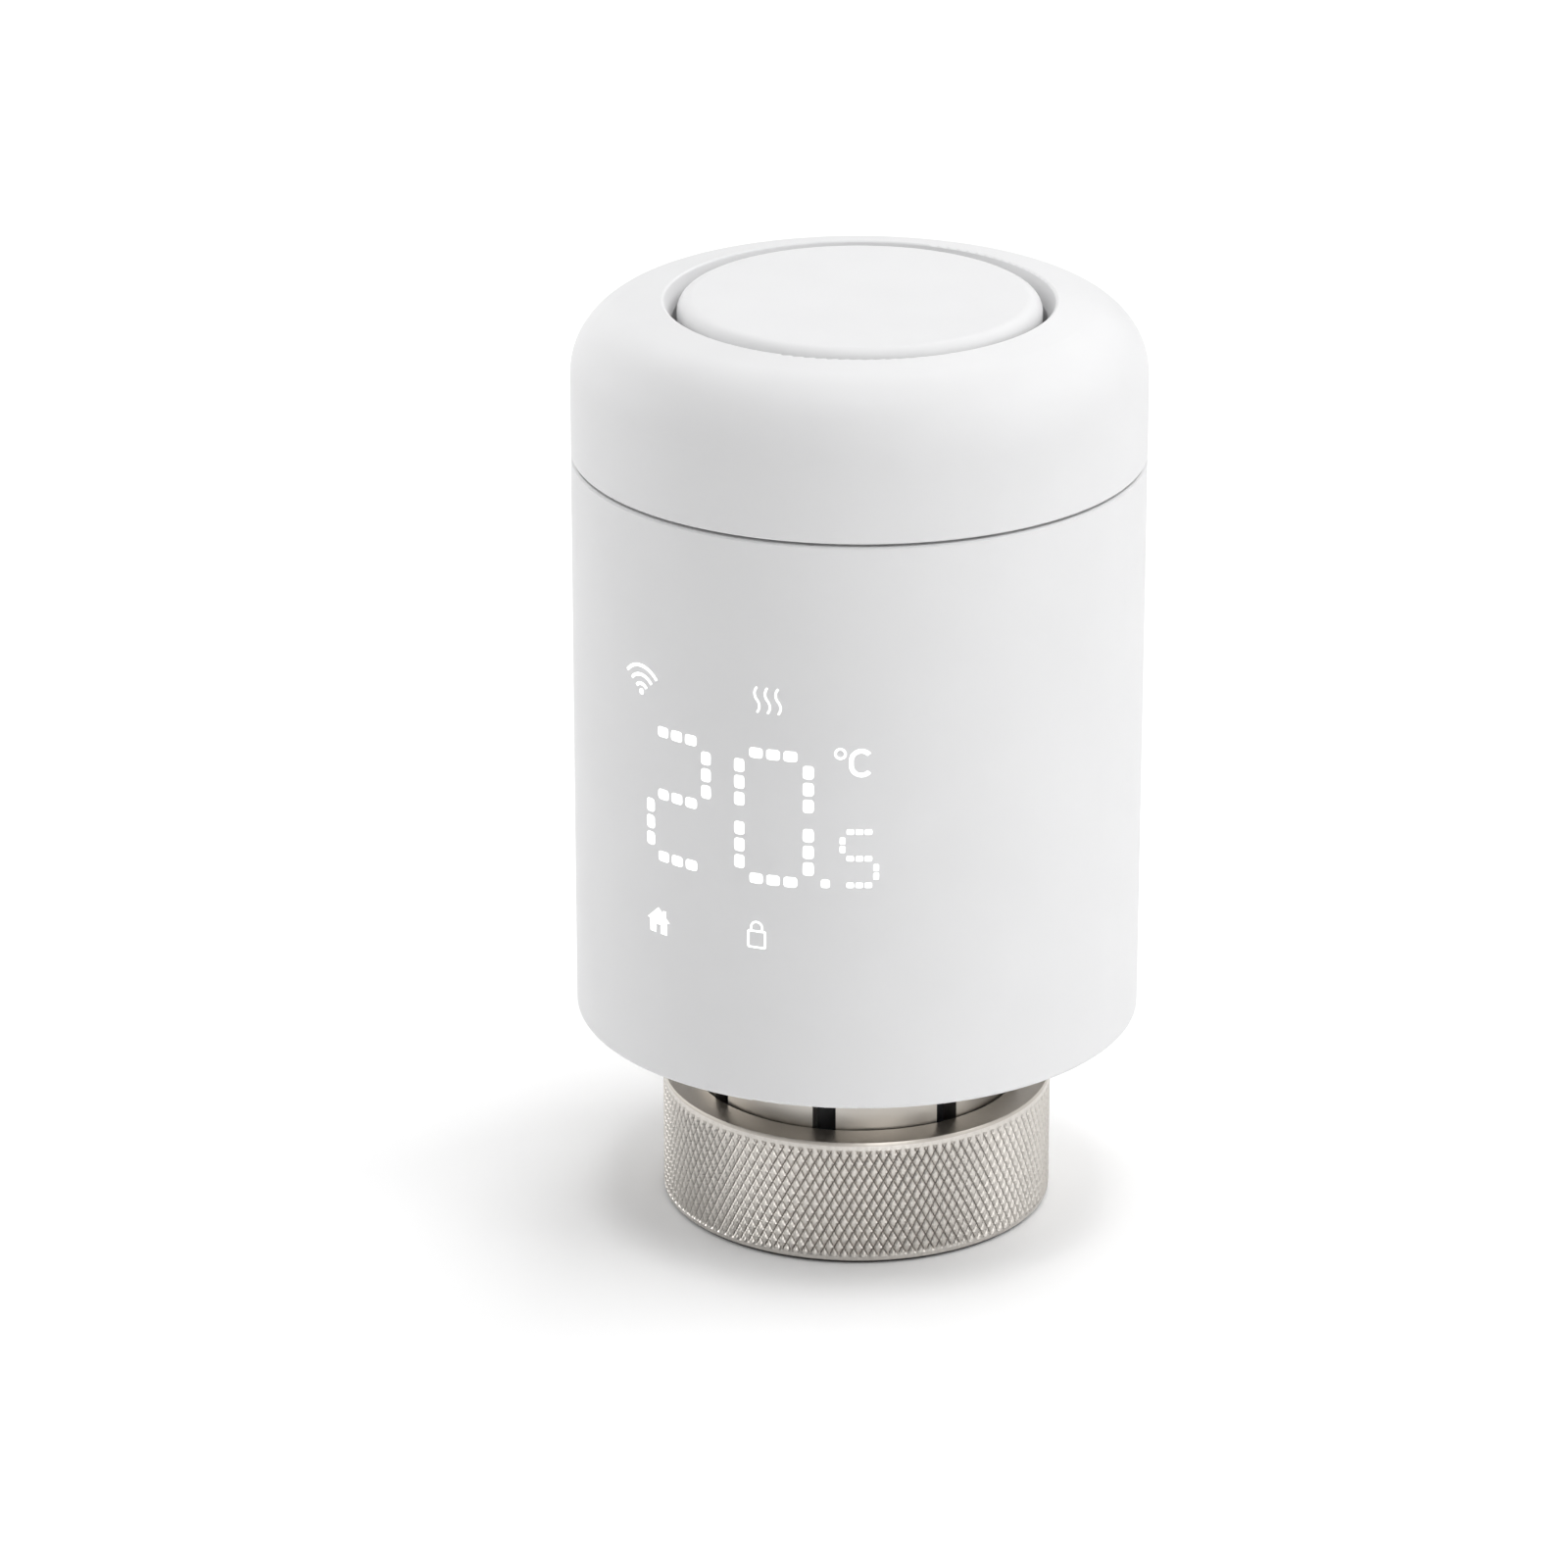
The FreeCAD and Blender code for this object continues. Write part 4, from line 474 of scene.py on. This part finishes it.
def thread_radius(angle, height):
    """The radius of the nut's inner thread at an angle and a height above the foot."""
    turn = (height / THREAD_PITCH - angle / (2 * math.pi)) % 1.0
    wave = np.abs(turn - 0.5) * 2
    depth = np.clip((wave - THREAD_CREST) / THREAD_FLANK, 0.0, 1.0)
    return THREAD_MINOR + depth * THREAD_DEPTH


def nut_side(outer, foot, top, count):
    """Rows of (radius, height) up the nut's outside, and the numbers of its knurled rows."""
    steps = np.arange(count)
    row_height = 2 * math.pi * outer / count / math.tan(KNURL_ANGLE)
    band = outer - NUT_BAND_SET_BACK
    low, high = foot + KNURL_BAND, top - KNURL_BAND
    last = int((high - low) / row_height)
    rows = [(outer - NUT_EDGE, foot), (band, foot + NUT_EDGE * 0.9), (band, low - KNURL_RUN_OUT)]
    first_knurled = len(rows)
    for row in range(last + 1):
        rise = knurl_height(steps, row)
        fade = min(1.0, (row + 0.5) / KNURL_FADE_ROWS, (last - row + 0.5) / KNURL_FADE_ROWS)
        rows.append((outer - KNURL_DEPTH * (1 - rise) * fade, low + row * row_height))
    last_knurled = len(rows) - 1
    rows.append((band, rows[-1][1] + KNURL_RUN_OUT))
    rows.append((band, top - NUT_EDGE * 0.7))
    rows.append((outer - NUT_EDGE * 0.3, top - NUT_EDGE * 0.15))
    rows.append((outer - NUT_EDGE, top))
    return rows, range(first_knurled, last_knurled)


def nut_bore(foot, top, count):
    """Rows of (radius, height) down the nut's inside: rim, snap ring's groove, thread and mouth."""
    angles = np.arange(count) * 2 * math.pi / count
    rows = [
        (SNAP_BORE + RIM_BREAK, top),
        (SNAP_BORE, top - RIM_BREAK),
        (SNAP_BORE, foot + SNAP_GROOVE_HIGH),
        (SNAP_GROOVE, foot + SNAP_GROOVE_HIGH),
        (SNAP_GROOVE, foot + SNAP_GROOVE_LOW),
        (SNAP_BORE, foot + SNAP_GROOVE_LOW),
        (SNAP_BORE, foot + THREAD_END),
    ]
    for row in range(THREAD_ROWS + 1):
        height = THREAD_END * (1 - row / THREAD_ROWS)
        slope = max(0.0, 1 - height / THREAD_START)
        mouth = THREAD_MINOR + (THREAD_MOUTH - THREAD_MINOR) * slope
        rows.append((np.maximum(thread_radius(angles, height), mouth), foot + height))
    return rows


def diamond_faces(vertices, quads, first_middle):
    """Each quad split in four round a middle point that keeps the knurl's grooves sharp."""
    corners = vertices[quads]
    middles = corners.mean(axis=1)
    radii = np.hypot(corners[..., 0], corners[..., 1])
    depth = np.minimum((radii[:, 0] + radii[:, 2]) / 2, (radii[:, 1] + radii[:, 3]) / 2)
    middles[:, :2] *= (depth / np.hypot(middles[:, 0], middles[:, 1]))[:, None]
    hub = np.arange(first_middle, first_middle + len(quads))
    sides = [(quads[:, side], quads[:, (side + 1) % 4], hub) for side in range(4)]
    return middles, [np.stack(side, axis=-1) for side in sides]


def make_union_nut(material):
    """The nut with its diamond knurl outside and its thread inside, as one closed mesh."""
    low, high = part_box("union_nut")
    count = KNURL_STARTS * KNURL_STEPS
    side, knurled = nut_side(high[0], low[2], high[2], count)
    rows = side + nut_bore(low[2], high[2], count)
    radii = [np.broadcast_to(radius, count) for radius, height in rows]
    vertices = rings(radii, [height for radius, height in rows]).reshape(-1, 3)
    numbers = np.arange(len(vertices)).reshape(len(rows), count)
    points = [vertices]
    groups = []
    for row in range(len(rows)):
        quads = band_faces(numbers[row], numbers[(row + 1) % len(rows)], count)
        if row in knurled:
            first_middle = sum(len(group) for group in points)
            middles, diamonds = diamond_faces(vertices, quads, first_middle)
            points.append(middles)
            groups.extend(diamonds)
        else:
            groups.append(quads)
    faces = [face for group in groups for face in group.tolist()]
    nut = new_object("union_nut_knurled", np.concatenate(points), faces, material)
    smooth(nut, NUT_SHARP_EDGE)
    return nut


def make_button_spring(material):
    """The wire coil under the button, from the cap's board to the button's underside."""
    low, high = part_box("button_spring")
    wire = SPRING_WIRE / 2
    radius = high[0] - wire
    steps = SPRING_TURNS * SPRING_TURN_STEPS
    share = np.arange(steps + 1)[:, None] / steps
    angle = share * SPRING_TURNS * 2 * math.pi
    middle = low[2] + wire + share * (high[2] - low[2] - 2 * wire)
    around = np.arange(SPRING_SIDES)[None, :] * 2 * math.pi / SPRING_SIDES
    reach = radius + wire * np.cos(around)
    heights = middle + wire * np.sin(around)
    points = np.stack([reach * np.cos(angle), reach * np.sin(angle), heights], axis=-1)
    numbers = np.arange((steps + 1) * SPRING_SIDES).reshape(steps + 1, SPRING_SIDES)
    faces = [numbers[0][::-1].tolist(), numbers[-1].tolist()]
    for step in range(steps):
        faces.extend(band_faces(numbers[step], numbers[step + 1], SPRING_SIDES)[:, ::-1].tolist())
    spring = new_object("button_spring_coil", points.reshape(-1, 3), faces, material)
    smooth(spring, SPRING_SHARP_EDGE)
    return spring


def squash_button_spring(spring):
    """Gives the spring its own copy of its mesh."""
    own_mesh(spring)


# ---- The scene ----


def add_camera():
    """The photograph's long lens, a little to the right of the display and above it."""
    data = bpy.data.cameras.new("camera")
    data.lens = CAMERA_LENS
    data.sensor_width = CAMERA_SENSOR
    data.dof.use_dof = False
    camera = bpy.data.objects.new("camera", data)
    camera.location = (
        CAMERA_REACH * math.sin(CAMERA_AZIMUTH),
        -CAMERA_REACH * math.cos(CAMERA_AZIMUTH),
        CAMERA_HEIGHT,
    )
    camera.rotation_euler = (math.pi / 2 - CAMERA_PITCH, 0.0, CAMERA_AZIMUTH + CAMERA_YAW)
    bpy.context.scene.collection.objects.link(camera)
    bpy.context.scene.camera = camera


def add_softbox(name, azimuth, elevation, side, power):
    """A square area light on a sphere round the object, aimed at its middle."""
    data = bpy.data.lights.new(name, "AREA")
    data.size = side
    data.energy = power
    light = bpy.data.objects.new(name, data)
    around, up = math.radians(azimuth), math.radians(elevation)
    middle = (cad_low[2] + cad_high[2]) / 2
    light.location = (
        LIGHT_REACH * math.sin(around) * math.cos(up),
        -LIGHT_REACH * math.cos(around) * math.cos(up),
        middle + LIGHT_REACH * math.sin(up),
    )
    light.rotation_euler = (math.pi / 2 - up, 0.0, around)
    bpy.context.scene.collection.objects.link(light)


def add_lights():
    """A white room that lights the object only dimly, inside a ring of softboxes."""
    world = bpy.data.worlds.new("studio")
    world.use_nodes = True
    background = world.node_tree.nodes["Background"]
    background.inputs["Color"].default_value = (1.0, 1.0, 1.0, 1.0)
    light_path = world.node_tree.nodes.new("ShaderNodeLightPath")
    strength = world.node_tree.nodes.new("ShaderNodeMapRange")
    strength.inputs["To Min"].default_value = ROOM_LIGHT
    world.node_tree.links.new(light_path.outputs["Is Camera Ray"], strength.inputs["Value"])
    world.node_tree.links.new(strength.outputs["Result"], background.inputs["Strength"])
    bpy.context.scene.world = world
    for name, azimuth, elevation, side, power in SOFTBOXES:
        add_softbox(name, azimuth, elevation, side, power)


def add_floor():
    """A plain pale floor under the nut."""
    half, height = FLOOR_HALF, cad_low[2]
    corners = [(-half, -half, height), (half, -half, height), (half, half, height), (-half, half, height)]
    paper = floor_paper("floor_paper", (0.96, 0.96, 0.96), (0.945, 0.945, 0.945))
    floor = new_object("floor", corners, [(0, 1, 2, 3)], paper)


def paint_plastics():
    """Gives the moulded nodes their materials."""
    white = moulded_white("white_shell", (0.71, 0.71, 0.715), (0.695, 0.695, 0.70), 0.5, 0.62)
    white_top = moulded_white("white_dial", (0.71, 0.71, 0.715), (0.695, 0.695, 0.70), 0.46, 0.58)
    inner_white = moulded_plastic("white_inner", (0.74, 0.74, 0.73), (0.70, 0.70, 0.69), 0.5)
    black = moulded_plastic("black_plastic", (0.025, 0.025, 0.027), (0.018, 0.018, 0.02), 0.5)
    grey = moulded_plastic("grey_plastic", (0.20, 0.21, 0.22), (0.17, 0.175, 0.185), 0.5)
    acetal = moulded_plastic("gear_plastic", (0.72, 0.70, 0.63), (0.68, 0.655, 0.58), 0.38, 1500)
    chip = moulded_plastic("chip_black", (0.03, 0.03, 0.032), (0.022, 0.022, 0.024), 0.6, 4000)
    paint(white, "outer_shell")
    paint(white_top, "dial_ring", "push_button")
    paint(inner_white, "dial_base", "button_carrier", "display_reflector")
    # The guide sleeve is painted black to darken the collar's slots: a dark part put behind them as
    # painted shade.
    paint(black, "guide_sleeve", "battery_tray")
    paint(grey, "gearbox_base", "gearbox_cover")
    paint(acetal, "first_gear", "second_gear", "drive_gear", "plunger", "encoder_gear", "switch_pin")
    paint(chip, "board_parts", "display_driver", "encoder_body", "tact_switch")


def paint_metals():
    """Gives the metal nodes their materials."""
    steel = turned_metal("drawn_steel", (0.62, 0.62, 0.63), (0.52, 0.52, 0.53), 0.2, 0.35)
    zinc = turned_metal("zinc_screw", (0.50, 0.50, 0.52), (0.38, 0.38, 0.40), 0.28, 0.45)
    plate = pressed_metal("plate_steel", (0.58, 0.58, 0.59), (0.50, 0.50, 0.51), 0.34)
    contact = pressed_metal("contact_nickel", (0.72, 0.70, 0.66), (0.64, 0.62, 0.58), 0.28)
    brass = turned_metal("gear_brass", (0.78, 0.60, 0.28), (0.66, 0.48, 0.20), 0.22, 0.36)
    collar = pressed_metal("nickel_collar", (0.66, 0.63, 0.585), (0.50, 0.47, 0.43), 0.36, 700)
    paint(steel, "nut_snap_ring", "gear_axles", "battery_spring", "dial_retainer", "button_spring")
    paint(zinc, "collar_screws", "gearbox_screws", "bridge_screws", "frame_screws")
    paint(plate, "gear_bridge", "motor_can")
    paint(contact, "battery_contacts", "contact_pins", "battery_bridge")
    paint(brass, "thrust_washer", "motor_pinion")
    paint(collar, "valve_collar", "union_nut")


def paint_electrics():
    """Gives the boards, the batteries, the ribbon and the display's lamps their materials."""
    board = circuit_board("board_green", (0.012, 0.11, 0.05), (0.02, 0.17, 0.075))
    sleeve = battery_sleeve("battery_wrap", (0.03, 0.04, 0.05), (0.55, 0.30, 0.10), (0.65, 0.65, 0.66))
    film = ribbon_film("flex_amber", (0.50, 0.22, 0.03), (0.62, 0.32, 0.08))
    lamp = moulded_plastic("led_white", (0.80, 0.76, 0.55), (0.74, 0.70, 0.48), 0.3)
    light = glow("display_light", (1.0, 1.0, 1.0), 0.75)
    paint(board, "main_board", "display_board", "dial_board")
    paint(sleeve, "left_battery", "right_battery")
    paint(film, "display_flex")
    paint(lamp, "display_leds")
    paint(light, "display_digits", "display_icons")


bpy.context.scene.view_settings.view_transform = "Standard"
add_camera()
add_lights()
add_floor()
paint_plastics()
paint_metals()
paint_electrics()
spring_piece = make_button_spring(bpy.data.materials["drawn_steel"])
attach(spring_piece, "top_module")
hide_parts("button_spring")
squash_button_spring(spring_piece)
# The nut's second colour is painted shade for the knurl's grooves and the foot's chamfer.
nut_metal = knurled_metal(
    "nickel_nut", (0.64, 0.61, 0.57), (0.045, 0.04, 0.036), (0.50, 0.465, 0.42)
)
nut_piece = make_union_nut(nut_metal)
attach(nut_piece, "nut")
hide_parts("union_nut")
